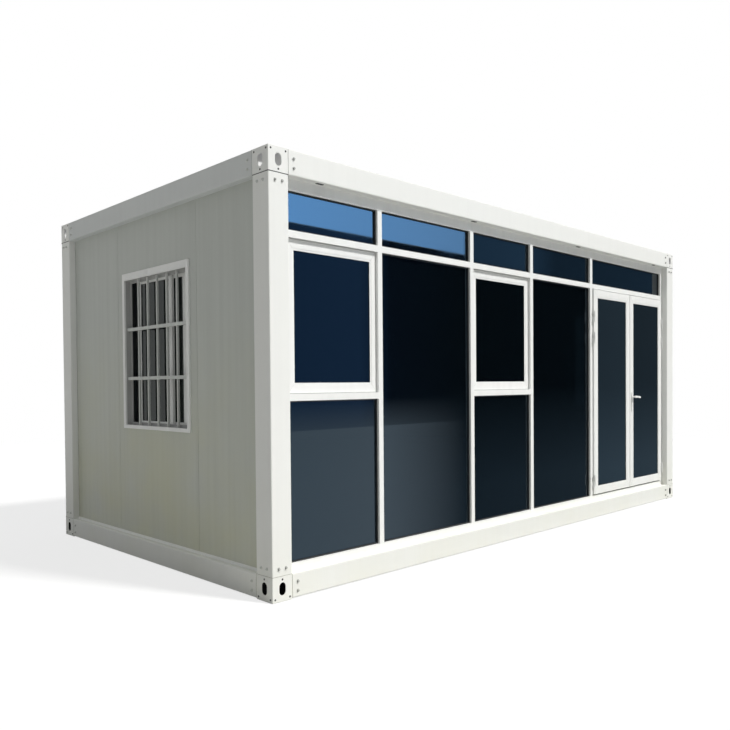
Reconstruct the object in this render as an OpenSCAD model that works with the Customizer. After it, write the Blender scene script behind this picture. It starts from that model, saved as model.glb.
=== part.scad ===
// Flat pack container house: a bolted steel frame of corner fittings, posts and
// cold-formed beams, sandwich panel walls on three sides, a glazed front with a
// double door, and a barred sliding window in each end wall.
// The origin is on the ground under the middle of the house. The front faces -Y.

/* [House] */
// Length of the house along the glazed front
house_l = 5950; // [5600:10:7000]
// Width of the house from front to back
house_w = 3000; // [2700:10:3600]
// Height of the house from the ground to the roof's rim
house_h = 2800; // [2700:10:3200]

/* [Steel frame] */
// Side of a corner fitting, which is also the height of a beam and the width of a post
frame_s = 160; // [150:1:180]
// Wall thickness of the posts and beams
steel_t = 3; // [2:0.5:4.5]
// Outer radius of the posts' and beams' bends
bend_r = 8; // [5:0.5:10]
// Width of the flanges and post returns that the walls stand against
ledge_w = 135; // [128:1:145]
// Width of the top beams' upper flange
rim_w = 60; // [40:1:90]
// Depth of the lip under the top beams' upper flange
rim_lip = 18; // [10:1:24]
// Width of the bottom beams' lower flange
foot_w = 60; // [40:1:90]
// Height of the bottom beams above the ground
beam_lift = 6; // [2:1:15]

/* [Corner fittings] */
// Wall thickness of a corner fitting
fitting_t = 6; // [4:0.5:12]
// Chamfer of a corner fitting's edges
fitting_ease = 3; // [1:0.5:5]
// Width of the upright lashing slots
lash_w = 51; // [40:1:60]
// Height of the upright lashing slots
lash_h = 80; // [66:1:100]
// Width of the lifting slots in the top and bottom
lift_w = 56; // [46:1:64]
// Length of the lifting slots in the top and bottom
lift_l = 110; // [80:1:124]
// Radius of the small holes beside the lashing slots
peg_r = 6; // [4:0.5:9]
// Distance of the small holes from the fitting's edges
peg_in = 21; // [14:1:26]

/* [Soffit slots] */
// Number of slots along the soffit of the front and back top beams
soffit_n = 4; // [2:1:6]
// Length of a soffit slot
soffit_l = 45; // [30:1:60]
// Width of a soffit slot
soffit_slot_w = 16; // [10:1:22]
// Distance of the soffit slots behind the beam's face
soffit_set = 30; // [20:1:50]
// Distance of the first and last soffit slot from the house's end
soffit_end = 450; // [300:10:700]

/* [Roof] */
// Number of roof purlins
purlin_n = 7; // [5:1:10]
// Height of a roof purlin
purlin_h = 100; // [80:1:108]
// Width of the flanges of purlins and floor joists
channel_w = 40; // [30:1:60]
// Depth of the lips of purlins and floor joists
channel_lip = 12; // [8:1:20]
// Wall thickness of purlins and floor joists
channel_t = 2; // [1.5:0.5:4]
// Thickness of the roof sheet
sheet_t = 1; // [0.8:0.1:2]
// Height of the roof sheet's ribs
rib_h = 22; // [12:1:24]
// Width of a rib's flat top
rib_top = 30; // [20:1:40]
// Width of a rib at its foot
rib_foot = 70; // [50:1:90]
// Distance from one rib to the next
rib_pitch = 210; // [150:5:300]
// Thickness of the ceiling panels
ceiling_t = 10; // [6:1:20]
// Number of ceiling panels
ceiling_n = 5; // [4:1:6]

/* [Floor] */
// Thickness of the floor board
floor_t = 18; // [12:1:25]
// Number of floor joists
joist_n = 9; // [6:1:12]

/* [Walls] */
// Thickness of a wall panel
wall_t = 75; // [50:1:76]
// Distance of the wall panels behind the posts' outer face
wall_set = 55; // [35:1:58]
// Width of the panel that holds the window
window_panel_w = 1150; // [1080:10:1300]
// Number of panels in the back wall
back_n = 5; // [4:1:7]
// Depth of the tongue that joins two panels
tongue_d = 12; // [8:1:20]
// Thickness of the tongue that joins two panels
tongue_t = 24; // [12:1:30]
// Gap between a wall panel and the post beside it
panel_gap = 4; // [2:0.5:8]
// Width of the joint between two wall panels
joint_gap = 3; // [1:0.5:5]

/* [End wall windows] */
// Width of the window casing
win_w = 975; // [800:5:1010]
// Height of the window casing
win_h = 1233; // [900:1:1400]
// From the top beam's soffit down to the window casing
win_drop = 401; // [250:1:600]
// Distance of the window's middle from the middle of the wall, to the back
win_y = -40; // [-120:1:120]
// Width of the casing's face beside the window
casing_w = 34; // [28:1:60]
// Height of the casing's face over the window
casing_head = 54; // [30:1:80]
// Height of the casing's face under the window
casing_foot = 28; // [24:1:60]
// Thickness of the casing's flange on the wall
casing_t = 12; // [6:1:20]
// How far the casing's flange overlaps the wall panel
casing_lap = 20; // [12:1:22]
// How far the casing's lining reaches into the room
lining_in = 22; // [20:1:60]
// Width of the stop that the sashes slide behind
stop_w = 20; // [12:1:28]
// Thickness of the stop that the sashes slide behind
stop_t = 7; // [4:1:10]
// Thickness of a sliding sash
slide_t = 21; // [16:1:22]
// Width of a sliding sash's stiles
slide_face = 42; // [30:1:55]
// Height of a sliding sash's rails
slide_rail = 34; // [30:1:55]
// How far the two sliding sashes overlap when they are shut
slide_lap = 100; // [30:1:120]
// How far the outer sash is slid open from the back
outer_open = 110; // [0:5:250]
// How far the inner sash is slid open from the front
inner_open = 130; // [0:5:250]

/* [Window bars] */
// Number of upright bars in front of a window
bar_n = 5; // [4:1:7]
// Side of the square upright bars
bar_s = 15; // [10:1:20]
// Number of cross bars
cross_n = 2; // [1:1:3]
// Height of a cross bar
cross_h = 25; // [16:1:40]
// Thickness of a cross bar
cross_t = 20; // [5:1:24]
// Distance of the bars' middle behind the wall panel's face
bar_set = 24; // [16:1:28]
// Distance of the outermost upright bars' middle from the casing
bar_in = 170; // [60:5:200]
// Height of the lowest cross bar's middle over the window's sill
cross_low = 370; // [200:5:400]

/* [Glazed front] */
// Distance of the glazed front behind the posts' face
front_set = 60; // [56:1:72]
// Depth of the glazed front's members
front_d = 62; // [50:1:65]
// Width of the members' face
front_w = 45; // [35:1:60]
// Height of the head rail
head_h = 72; // [40:1:80]
// From the post to the middle of the mullion, across a bay with a casement
casement_bay = 892; // [700:1:1000]
// From the last mullion's middle to the post, across the bay with the double door
double_bay = 1660; // [1400:5:1900]
// From the top beam's soffit down to the transom's underside
transom_drop = 367; // [250:1:600]
// Height of the casement bays' middle rail above the ground
middle_z = 1237; // [900:1:1500]
// Thickness of the glass
glass_t = 6; // [4:0.5:10]
// Distance of the fixed glass behind the members' face
glass_set = 25; // [15:1:30]
// Distance of the casements' and doors' glass behind the face of their frame
sash_glass_set = 7; // [6:1:20]
// How far the glass reaches into the groove that holds it
glass_bite = 10; // [5:1:15]
// Width of the glazing beads round the casements' and doors' glass
bead_w = 14; // [8:1:20]
// Distance of the glazing beads behind the face of their frame
bead_set = 2; // [1:0.5:4]

/* [Casements] */
// Distance of a casement behind the members' face
casement_set = 22; // [15:1:26]
// Thickness of a casement
casement_d = 44; // [38:1:50]
// Width of a casement's stiles
casement_face = 58; // [40:1:80]
// Height of a casement's rails
casement_rail = 70; // [40:1:90]
// Gap beside and over a casement
casement_gap = 4; // [2:0.5:8]

/* [Double door] */
// How far the door leaves stand in front of the members' face
leaf_proud = 14; // [5:1:20]
// Thickness of a door leaf
leaf_d = 50; // [42:1:60]
// Width of a door leaf's stiles and top rail
stile_w = 82; // [55:1:100]
// Height of a door leaf's bottom rail
bottom_rail_h = 80; // [60:1:200]
// Gap between a door leaf and the member beside it
leaf_gap = 6; // [5.5:0.5:8]
// Gap between the two door leaves
meeting_gap = 10.5; // [10.5:0.5:16]
// Gap over a door leaf
leaf_head_gap = 9; // [6:1:15]
// Gap under a door leaf
leaf_foot_gap = 15; // [6:1:25]

/* [Door hinges] */
// Radius of a hinge knuckle
knuckle_r = 7; // [6:0.5:7]
// Radius of a hinge pin
pin_r = 3.5; // [2.5:0.25:4]
// Height of a hinge
hinge_h = 110; // [70:1:130]
// Width of a hinge's plate
hinge_w = 30; // [20:1:38]
// Thickness of a hinge's plate
hinge_t = 3; // [2:0.5:4]
// Distance of a hinge pin's middle in front of the door leaf
hinge_out = 8; // [8:0.5:10]
// Height of the lowest hinge over the leaf's bottom
hinge_low = 137; // [100:1:300]
// Distance of the highest hinge under the leaf's top
hinge_high = 271; // [120:1:320]
// Distance between the two upper hinges
hinge_pair = 211; // [150:1:300]

/* [Door lever] */
// Height of the lever's pivot above the ground
lever_z = 1180; // [950:1:1250]
// Length of the lever from its pivot
lever_l = 140; // [100:1:160]
// Height of the lever's grip
lever_h = 24; // [14:1:26]
// Thickness of the lever's grip
lever_t = 13; // [8:1:18]
// Distance of the lever's outer side from the door leaf
lever_out = 45; // [40:1:45]
// Radius of the lever's spindle
spindle_r = 5; // [4:0.5:7]
// Width of the lock plate
plate_w = 38; // [30:1:50]
// Thickness of the lock plate
plate_t = 8; // [4:1:10]
// Reach of the lock plate above the lever's pivot
plate_up = 53; // [40:1:80]
// Reach of the lock plate below the lever's pivot
plate_down = 152; // [120:1:190]
// Distance of the lock cylinder below the lever's pivot
lock_drop = 92; // [70:1:100]
// Radius of the lock cylinder's nose
lock_r = 9; // [7:0.5:12]
// How far the lock cylinder's nose stands out of its plate
lock_out = 4; // [2:0.5:8]

/* [Fits] */
// Gap between pieces that seat in each other
fit = 0.3; // [0.2:0.05:0.5]
// Gap between the edges of boards and panels
edge_gap = 2; // [1:0.5:4]

/* [Hidden] */
$fn = 48;
// Margin that carries a cut past a face
over = 1;

// Left end, front face, and the heights between the beams
left_x = -house_l / 2;
front_y = -house_w / 2;
floor_z = frame_s;
soffit_z = house_h - frame_s;

// Inner radius of the posts' and beams' bends
inner_r = bend_r - steel_t;

// Side walls
wall_x = left_x + wall_set;
wall_start = front_y + frame_s + panel_gap;
wall_end = -front_y - frame_s - panel_gap;
wall_hole_w = win_w - 2 * casing_lap;
wall_hole_h = win_h - 2 * casing_lap;

// Middle height of the window, the clear opening inside its casing, and the sashes that slide in it
win_z = soffit_z - win_drop - win_h / 2;
light_w = win_w - 2 * casing_w;
light_h = win_h - casing_head - casing_foot;
light_y = win_y - light_w / 2;
light_z = win_z - win_h / 2 + casing_foot;
slide_w = (light_w + slide_lap) / 2;
slide_h = light_h - 2 * edge_gap;
inner_slide_x = wall_x + wall_t + lining_in - slide_t - edge_gap;
outer_slide_x = inner_slide_x - slide_t - edge_gap;
stop_x = outer_slide_x - edge_gap - stop_t;

// Glazed front: bays between the mullions, from left to right
glaze_x = left_x + frame_s;
glaze_y = front_y + front_set;
sill_z = floor_z + front_w;
head_z = soffit_z - head_h;
transom_z = soffit_z - transom_drop;
fixed_bay = (-2 * glaze_x - 2 * casement_bay - double_bay) / 2;
mullion_x = [
    glaze_x + casement_bay,
    glaze_x + casement_bay + fixed_bay,
    glaze_x + 2 * casement_bay + fixed_bay,
    glaze_x + 2 * casement_bay + 2 * fixed_bay
];
bay_start = concat([glaze_x + front_w], [for (x = mullion_x) x + front_w / 2]);
bay_end = concat([for (x = mullion_x) x - front_w / 2], [-glaze_x - front_w]);
bays = [0, 1, 2, 3, 4];
casement_bays = [0, 2];
fixed_bays = [1, 3];
door_bay = 4;

// Clear openings of the fixed panes: [start x, end x, low z, high z]
transom_lights = [for (i = bays) [bay_start[i], bay_end[i], transom_z + front_w, head_z]];
tall_lights = [for (i = fixed_bays) [bay_start[i], bay_end[i], sill_z, transom_z]];
lower_lights = [for (i = casement_bays) [bay_start[i], bay_end[i], sill_z, middle_z]];
fixed_lights = concat(transom_lights, tall_lights, lower_lights);

// Casements: outline and clear opening
casement_y = glaze_y + casement_set;
casements = [for (i = casement_bays) [
    bay_start[i] + casement_gap,
    bay_end[i] - casement_gap,
    middle_z + front_w + fit,
    transom_z - casement_gap
]];

// Left door leaf: outline and clear opening; the right leaf mirrors it
leaf_y = glaze_y - leaf_proud;
door_mid = (bay_start[door_bay] + bay_end[door_bay]) / 2;
leaf = [
    bay_start[door_bay] + leaf_gap,
    door_mid - meeting_gap / 2,
    sill_z + leaf_foot_gap,
    transom_z - leaf_head_gap
];
leaf_light = [
    leaf[0] + stile_w,
    leaf[1] - stile_w,
    leaf[2] + bottom_rail_h,
    leaf[3] - stile_w
];

// Hinge axes and the lever's pivot, on the left leaf
hinge_x = leaf[0] - leaf_gap / 2;
hinge_y = leaf_y - hinge_out;
hinge_zs = [
    leaf[2] + hinge_low,
    leaf[3] - hinge_high - hinge_pair,
    leaf[3] - hinge_high
];
lever_x = leaf[1] - stile_w / 2;

// Colours of the finishes
frame_white = [0.93, 0.94, 0.93];
panel_white = [0.90, 0.91, 0.90];
profile_white = [0.96, 0.96, 0.96];
galvanized = [0.68, 0.70, 0.72];
board_grey = [0.55, 0.54, 0.52];
glass_tint = [0.12, 0.17, 0.24];

// Places a left end piece at the right end too
module at_both_ends() {
    children();
    mirror([1, 0, 0]) children();
}

// Places a front left corner piece at all four corners
module at_four_corners() {
    for (sx = [0, 1], sy = [0, 1])
        mirror([sx, 0, 0]) mirror([0, sy, 0]) children();
}

// Turns a left door leaf piece into the right leaf's
module as_right_leaf() {
    translate([2 * door_mid, 0, 0]) mirror([1, 0, 0]) children();
}

// Box between two opposite corners
module box(low, high) {
    translate(low) cube(high - low);
}

// Slot outline with round ends, its length along the outline's X
module slot_outline(length, width) {
    square([length - width, width], center = true);
    for (side = [-1, 1])
        translate([side * (length - width) / 2, 0]) circle(d = width);
}

// What lies between a square corner [x, y, way in x, way in y] and its bend
module bend_corner(c, r) {
    translate([c[0], c[1]]) mirror([c[2] < 0 ? 1 : 0, 0]) mirror([0, c[3] < 0 ? 1 : 0])
        difference() {
            translate([-over, -over]) square(r + over);
            translate([r, r]) circle(r);
        }
}

// Rounds an outline's convex corners
module bent(corners, r) {
    difference() {
        children();
        for (c = corners) bend_corner(c, r);
    }
}

// Profile (depth, height) extruded along the front, between the corner fittings
module along_front(length) {
    translate([-length / 2, front_y, 0])
        rotate([90, 0, 90]) linear_extrude(length) children();
}

// Profile (depth, height) extruded along the left end, between the corner fittings
module along_left(length) {
    translate([left_x, length / 2, 0])
        rotate([90, 0, 0]) linear_extrude(length) children();
}

// Profile (width, height) extruded across the house from front to back
module across(x, length) {
    translate([x, length / 2, 0])
        rotate([90, 0, 0]) linear_extrude(length) children();
}

// Pane of glass whose edges reach into the grooves round a clear opening
module pane(light, y, extra = 0) {
    reach = glass_bite + extra;
    box([light[0] - reach, y - extra, light[2] - reach],
        [light[1] + reach, y + glass_t + extra, light[3] + reach]);
}

// Rectangular frame round a clear opening, with set back beads and a groove for its pane
module glazed_frame(outline, light, y, depth, glass_y) {
    difference() {
        box([outline[0], y, outline[2]], [outline[1], y + depth, outline[3]]);
        box([light[0], y - over, light[2]], [light[1], y + depth + over, light[3]]);
        box([light[0] - bead_w, y - over, light[2] - bead_w],
            [light[1] + bead_w, y + bead_set, light[3] + bead_w]);
        pane(light, glass_y, fit);
    }
}

// Cube with chamfered edges
module eased_cube(side, ease) {
    outline = [[ease, 0], [side - ease, 0], [side, ease], [side, side - ease],
               [side - ease, side], [ease, side], [0, side - ease], [0, ease]];
    intersection() {
        linear_extrude(side) polygon(outline);
        translate([0, side, 0]) rotate([90, 0, 0]) linear_extrude(side) polygon(outline);
        rotate([90, 0, 90]) linear_extrude(side) polygon(outline);
    }
}

// Small holes of an outer face: one beside the post and two at the far corners
function peg_places(upright) = [
    [frame_s / 2, upright ? frame_s - peg_in : peg_in],
    for (x = [peg_in, frame_s - peg_in]) [x, upright ? peg_in : frame_s - peg_in]
];

// Corner fitting at the front left: a hollow cube with slotted outer faces
module corner_fitting(low_z, slot_z) {
    middle = frame_s / 2;
    pegs = peg_places(slot_z == 0);
    translate([left_x, front_y, low_z]) difference() {
        eased_cube(frame_s, fitting_ease);
        translate([fitting_t, fitting_t, fitting_t]) cube(frame_s - 2 * fitting_t);
        translate([middle, fitting_t + over, middle]) rotate([90, 90, 0])
            linear_extrude(fitting_t + 2 * over) slot_outline(lash_h, lash_w);
        translate([-over, middle, middle]) rotate([0, 90, 0])
            linear_extrude(fitting_t + 2 * over) slot_outline(lash_h, lash_w);
        translate([middle, middle, slot_z - over])
            linear_extrude(fitting_t + 2 * over) slot_outline(lift_l, lift_w);
        for (p = pegs) {
            translate([p[0], -over, p[1]]) rotate([-90, 0, 0])
                cylinder(r = peg_r, h = fitting_t + 2 * over);
            translate([-over, p[0], p[1]]) rotate([0, 90, 0])
                cylinder(r = peg_r, h = fitting_t + 2 * over);
        }
    }
}

module top_corner_fittings() {
    color(frame_white) at_four_corners() corner_fitting(soffit_z, frame_s - fitting_t);
}

module bottom_corner_fittings() {
    color(frame_white) at_four_corners() corner_fitting(0, 0);
}

// Post at the front left: a folded square tube whose inner corner is cut off
module post() {
    inset = steel_t * (sqrt(2) - 1);
    outer = [[0, 0], [frame_s, 0], [frame_s, ledge_w], [ledge_w, frame_s], [0, frame_s]];
    inner_side = frame_s - steel_t;
    inner_cut = ledge_w - inset;
    inner = [[steel_t, steel_t], [inner_side, steel_t], [inner_side, inner_cut],
             [inner_cut, inner_side], [steel_t, inner_side]];
    outer_bends = [[0, 0, 1, 1], [frame_s, 0, -1, 1], [0, frame_s, 1, -1]];
    inner_bends = [[steel_t, steel_t, 1, 1], [inner_side, steel_t, -1, 1], [steel_t, inner_side, 1, -1]];
    color(frame_white) translate([left_x, front_y, floor_z])
        linear_extrude(soffit_z - floor_z) difference() {
            bent(outer_bends, bend_r) polygon(outer);
            bent(inner_bends, inner_r) polygon(inner);
        }
}

module front_left_post() { post(); }
module front_right_post() { mirror([1, 0, 0]) post(); }
module back_left_post() { mirror([0, 1, 0]) post(); }
module back_right_post() { mirror([1, 0, 0]) mirror([0, 1, 0]) post(); }

// Top beam's section: a wide soffit flange, and a lipped flange at the rim
module top_beam_profile() {
    rim_under = house_h - steel_t;
    soffit_top = soffit_z + steel_t;
    lip_in = rim_w - steel_t;
    outer_bends = [[0, soffit_z, 1, 1], [0, house_h, 1, -1], [rim_w, house_h, -1, -1]];
    inner_bends = [[steel_t, soffit_top, 1, 1], [steel_t, rim_under, 1, -1], [lip_in, rim_under, -1, -1]];
    bent(outer_bends, bend_r) polygon([
        [0, soffit_z], [ledge_w, soffit_z], [ledge_w, soffit_top],
        [steel_t, soffit_top], [steel_t, rim_under],
        [lip_in, rim_under], [lip_in, house_h - rim_lip],
        [rim_w, house_h - rim_lip], [rim_w, house_h], [0, house_h]
    ]);
    for (c = inner_bends) bend_corner(c, inner_r);
}

// Bottom beam's section: a wide ledge for the walls, and a narrow lower flange
module bottom_beam_profile() {
    ledge_under = floor_z - steel_t;
    foot_top = beam_lift + steel_t;
    outer_bends = [[0, beam_lift, 1, 1], [0, floor_z, 1, -1]];
    inner_bends = [[steel_t, foot_top, 1, 1], [steel_t, ledge_under, 1, -1]];
    bent(outer_bends, bend_r) polygon([
        [0, beam_lift], [foot_w, beam_lift], [foot_w, foot_top],
        [steel_t, foot_top], [steel_t, ledge_under],
        [ledge_w, ledge_under], [ledge_w, floor_z], [0, floor_z]
    ]);
    for (c = inner_bends) bend_corner(c, inner_r);
}

// Long top beam at the front, with slots through its soffit
module long_top_beam() {
    pitch = (house_l - 2 * soffit_end) / (soffit_n - 1);
    color(frame_white) difference() {
        along_front(house_l - 2 * frame_s) top_beam_profile();
        for (i = [0 : soffit_n - 1])
            translate([left_x + soffit_end + i * pitch, front_y + soffit_set, soffit_z - over])
                linear_extrude(steel_t + 2 * over) slot_outline(soffit_l, soffit_slot_w);
    }
}

module short_top_beam() {
    color(frame_white) along_left(house_w - 2 * frame_s) top_beam_profile();
}

module long_bottom_beam() {
    color(frame_white) along_front(house_l - 2 * frame_s) bottom_beam_profile();
}

module short_bottom_beam() {
    color(frame_white) along_left(house_w - 2 * frame_s) bottom_beam_profile();
}

module front_top_beam() { long_top_beam(); }
module back_top_beam() { mirror([0, 1, 0]) long_top_beam(); }
module left_top_beam() { short_top_beam(); }
module right_top_beam() { mirror([1, 0, 0]) short_top_beam(); }
module front_bottom_beam() { long_bottom_beam(); }
module back_bottom_beam() { mirror([0, 1, 0]) long_bottom_beam(); }
module left_bottom_beam() { short_bottom_beam(); }
module right_bottom_beam() { mirror([1, 0, 0]) short_bottom_beam(); }

// Lipped channel section of a purlin or joist, standing on a flange
module channel_profile(low_z, height) {
    half = channel_w / 2;
    translate([-half, low_z]) difference() {
        square([channel_w, height]);
        translate([channel_t, channel_t])
            square([channel_w - 2 * channel_t, height - 2 * channel_t]);
        translate([channel_w - channel_t - over, channel_lip])
            square([channel_t + 2 * over, height - 2 * channel_lip]);
    }
}

// Even places along the house for a number of pieces between the end beams
function spread(n, i) =
    let (reach = house_l / 2 - frame_s - channel_w)
    -reach + 2 * reach * i / (n - 1);

module roof_purlins() {
    color(galvanized) for (i = [0 : purlin_n - 1])
        across(spread(purlin_n, i), house_w - 2 * (bend_r + edge_gap))
            channel_profile(soffit_z + steel_t, purlin_h);
}

module floor_joists() {
    seat_z = beam_lift + steel_t;
    color(galvanized) for (i = [0 : joist_n - 1])
        across(spread(joist_n, i), house_w - 2 * (bend_r + edge_gap))
            channel_profile(seat_z, floor_z - floor_t - seat_z);
}

// Room outline set in from the house's faces, notched round the corner fittings
module board_outline(set_in) {
    notch = frame_s + edge_gap;
    difference() {
        square([house_l - 2 * set_in, house_w - 2 * set_in], center = true);
        at_four_corners() translate([left_x, front_y]) square(notch);
    }
}

module floor_board() {
    color(board_grey) translate([0, 0, floor_z - floor_t])
        linear_extrude(floor_t) board_outline(ledge_w + edge_gap);
}

module ceiling_panels() {
    pitch = (house_l - 2 * ledge_w) / ceiling_n;
    color(panel_white) translate([0, 0, soffit_z + steel_t - ceiling_t])
        linear_extrude(ceiling_t) difference() {
            board_outline(ledge_w + edge_gap);
            for (i = [1 : ceiling_n - 1])
                translate([left_x + ledge_w + i * pitch, 0])
                    square([edge_gap, house_w], center = true);
        }
}

// Roof sheet on the purlins: trapezium ribs along the house, edges under the rim
module roof_sheet() {
    reach = house_w / 2 - steel_t - edge_gap;
    rib_n = floor((2 * reach - rib_foot) / rib_pitch);
    rib_y = [for (i = [0 : rib_n]) (i - rib_n / 2) * rib_pitch];
    upper = concat(
        [[-reach, sheet_t]],
        [for (y = rib_y) each [
            [y - rib_foot / 2, sheet_t], [y - rib_top / 2, rib_h],
            [y + rib_top / 2, rib_h], [y + rib_foot / 2, sheet_t]]],
        [[reach, sheet_t]]
    );
    lower = [for (i = [len(upper) - 1 : -1 : 0]) [upper[i][0], upper[i][1] - sheet_t]];
    length = house_l - 2 * (steel_t + edge_gap);
    notch = frame_s + edge_gap;
    color(frame_white) difference() {
        translate([-length / 2, 0, soffit_z + steel_t + purlin_h])
            rotate([90, 0, 90]) linear_extrude(length) polygon(concat(upper, lower));
        at_four_corners()
            translate([left_x, front_y, soffit_z]) cube([notch, notch, frame_s]);
    }
}

// Wall panel standing along Y from start to end, tongued at its end and grooved at its start
module wall_panel(start, end, grooved, tongued) {
    middle = wall_t / 2;
    difference() {
        union() {
            box([0, start, floor_z], [wall_t, end, soffit_z]);
            if (tongued)
                box([middle - tongue_t / 2, end - over, floor_z],
                    [middle + tongue_t / 2, end + tongue_d, soffit_z]);
        }
        if (grooved)
            box([middle - tongue_t / 2 - fit, start - over, floor_z - over],
                [middle + tongue_t / 2 + fit, start + tongue_d + fit, soffit_z + over]);
    }
}

// Where the window panel of an end wall starts and ends
window_panel_start = win_y - window_panel_w / 2;
window_panel_end = win_y + window_panel_w / 2;

module end_plain_panels() {
    color(panel_white) translate([wall_x, 0, 0]) {
        wall_panel(wall_start, window_panel_start - joint_gap, false, true);
        wall_panel(window_panel_end + joint_gap, wall_end, true, false);
    }
}

module end_window_panel() {
    color(panel_white) translate([wall_x, 0, 0]) difference() {
        wall_panel(window_panel_start, window_panel_end, true, true);
        box([-over, win_y - wall_hole_w / 2, win_z - wall_hole_h / 2],
            [wall_t + over, win_y + wall_hole_w / 2, win_z + wall_hole_h / 2]);
    }
}

module left_plain_panels() { end_plain_panels(); }
module left_window_panel() { end_window_panel(); }
module right_plain_panels() { mirror([1, 0, 0]) end_plain_panels(); }
module right_window_panel() { mirror([1, 0, 0]) end_window_panel(); }

module back_wall_panels() {
    first = left_x + frame_s + panel_gap;
    pitch = -2 * first / back_n;
    color(panel_white) translate([0, -front_y - wall_set, 0]) rotate([0, 0, -90])
        for (i = [0 : back_n - 1])
            wall_panel(first + i * pitch + (i > 0 ? joint_gap : 0), first + (i + 1) * pitch,
                       i > 0, i < back_n - 1);
}

// Clear opening of the window between two depths, set in from the casing
module window_light(start_x, end_x, set_in = 0) {
    box([start_x, light_y + set_in, light_z + set_in],
        [end_x, light_y + light_w - set_in, light_z + light_h - set_in]);
}

// Window casing: a flange on the wall's face, a lining through the wall and a stop for the sashes
module window_casing() {
    hole_w = wall_hole_w - 2 * fit;
    hole_h = wall_hole_h - 2 * fit;
    color(profile_white) difference() {
        union() {
            box([wall_x - casing_t, win_y - win_w / 2, win_z - win_h / 2],
                [wall_x, win_y + win_w / 2, win_z + win_h / 2]);
            box([wall_x - over, win_y - hole_w / 2, win_z - hole_h / 2],
                [wall_x + wall_t + lining_in, win_y + hole_w / 2, win_z + hole_h / 2]);
        }
        window_light(wall_x - casing_t - over, stop_x);
        window_light(stop_x - over, stop_x + stop_t + over, stop_w);
        window_light(stop_x + stop_t, wall_x + wall_t + lining_in + over);
    }
}

module window_casings() { at_both_ends() window_casing(); }

// Low corners of the outer and the inner sash, each slid open
outer_slide = [outer_slide_x, light_y + light_w - slide_w - outer_open - edge_gap, light_z + fit];
inner_slide = [inner_slide_x, light_y + inner_open + edge_gap, light_z + fit];

module slide_pane(extra = 0) {
    reach_y = slide_face - glass_bite - extra;
    reach_z = slide_rail - glass_bite - extra;
    box([slide_t / 2 - glass_t / 2 - extra, reach_y, reach_z],
        [slide_t / 2 + glass_t / 2 + extra, slide_w - reach_y, slide_h - reach_z]);
}

module slide_frame() {
    difference() {
        cube([slide_t, slide_w, slide_h]);
        box([-over, slide_face, slide_rail],
            [slide_t + over, slide_w - slide_face, slide_h - slide_rail]);
        slide_pane(fit);
    }
}

module window_sashes() {
    color(profile_white) at_both_ends() {
        translate(outer_slide) slide_frame();
        translate(inner_slide) slide_frame();
    }
}

module window_glass() {
    color(glass_tint) at_both_ends() {
        translate(outer_slide) slide_pane();
        translate(inner_slide) slide_pane();
    }
}

// Bars welded into a grid that fills the casing's lining
module window_grid() {
    bar_pitch = (light_w - 2 * bar_in) / (bar_n - 1);
    cross_pitch = (light_h - cross_low) / cross_n;
    x = wall_x + bar_set;
    for (i = [0 : bar_n - 1])
        translate([x, light_y + bar_in + i * bar_pitch, light_z + light_h / 2])
            cube([bar_s, bar_s, light_h], center = true);
    for (i = [0 : cross_n - 1])
        translate([x, win_y, light_z + cross_low + i * cross_pitch])
            cube([cross_t, light_w, cross_h], center = true);
}

module window_bars() {
    color(profile_white) at_both_ends() window_grid();
}

// Members of the glazed front, grooved where a fixed pane meets them
module front_member(low_x, high_x, low_z, high_z) {
    difference() {
        box([low_x, glaze_y, low_z], [high_x, glaze_y + front_d, high_z]);
        for (light = fixed_lights)
            if (light[0] - glass_bite <= high_x && light[1] + glass_bite >= low_x
                && light[2] - glass_bite <= high_z && light[3] + glass_bite >= low_z)
                pane(light, glaze_y + glass_set, fit);
    }
}

module front_head_rail() {
    color(profile_white) front_member(glaze_x, -glaze_x, head_z, soffit_z);
}

module front_sill_rail() {
    color(profile_white) front_member(glaze_x, -glaze_x, floor_z, sill_z);
}

module front_jambs() {
    color(profile_white) {
        front_member(glaze_x, glaze_x + front_w, sill_z, head_z);
        front_member(-glaze_x - front_w, -glaze_x, sill_z, head_z);
    }
}

module front_mullions() {
    color(profile_white) for (x = mullion_x)
        front_member(x - front_w / 2, x + front_w / 2, sill_z, head_z);
}

module front_transoms() {
    color(profile_white) for (i = bays)
        front_member(bay_start[i], bay_end[i], transom_z, transom_z + front_w);
}

module casement_middle_rails() {
    color(profile_white) for (i = casement_bays)
        front_member(bay_start[i], bay_end[i], middle_z, middle_z + front_w);
}

module transom_glass() {
    color(glass_tint) for (light = transom_lights) pane(light, glaze_y + glass_set);
}

module fixed_glass() {
    color(glass_tint) for (light = concat(tall_lights, lower_lights))
        pane(light, glaze_y + glass_set);
}

// Clear opening of a casement
function casement_light(c) = [
    c[0] + casement_face, c[1] - casement_face, c[2] + casement_rail, c[3] - casement_rail
];

module casement_sashes() {
    color(profile_white) for (c = casements)
        glazed_frame(c, casement_light(c), casement_y, casement_d, casement_y + sash_glass_set);
}

module casement_glass() {
    color(glass_tint) for (c = casements) pane(casement_light(c), casement_y + sash_glass_set);
}

// Upper knuckle of a hinge on the left leaf, bored for the pin
module leaf_hinge(z) {
    half = hinge_h / 2 - fit;
    translate([hinge_x, hinge_y, z + fit]) difference() {
        union() {
            cylinder(r = knuckle_r, h = half);
            box([0, hinge_out - hinge_t, 0], [hinge_w + leaf_gap / 2, hinge_out, half]);
        }
        translate([0, 0, -over]) cylinder(r = pin_r + fit, h = half + 2 * over);
    }
}

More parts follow.
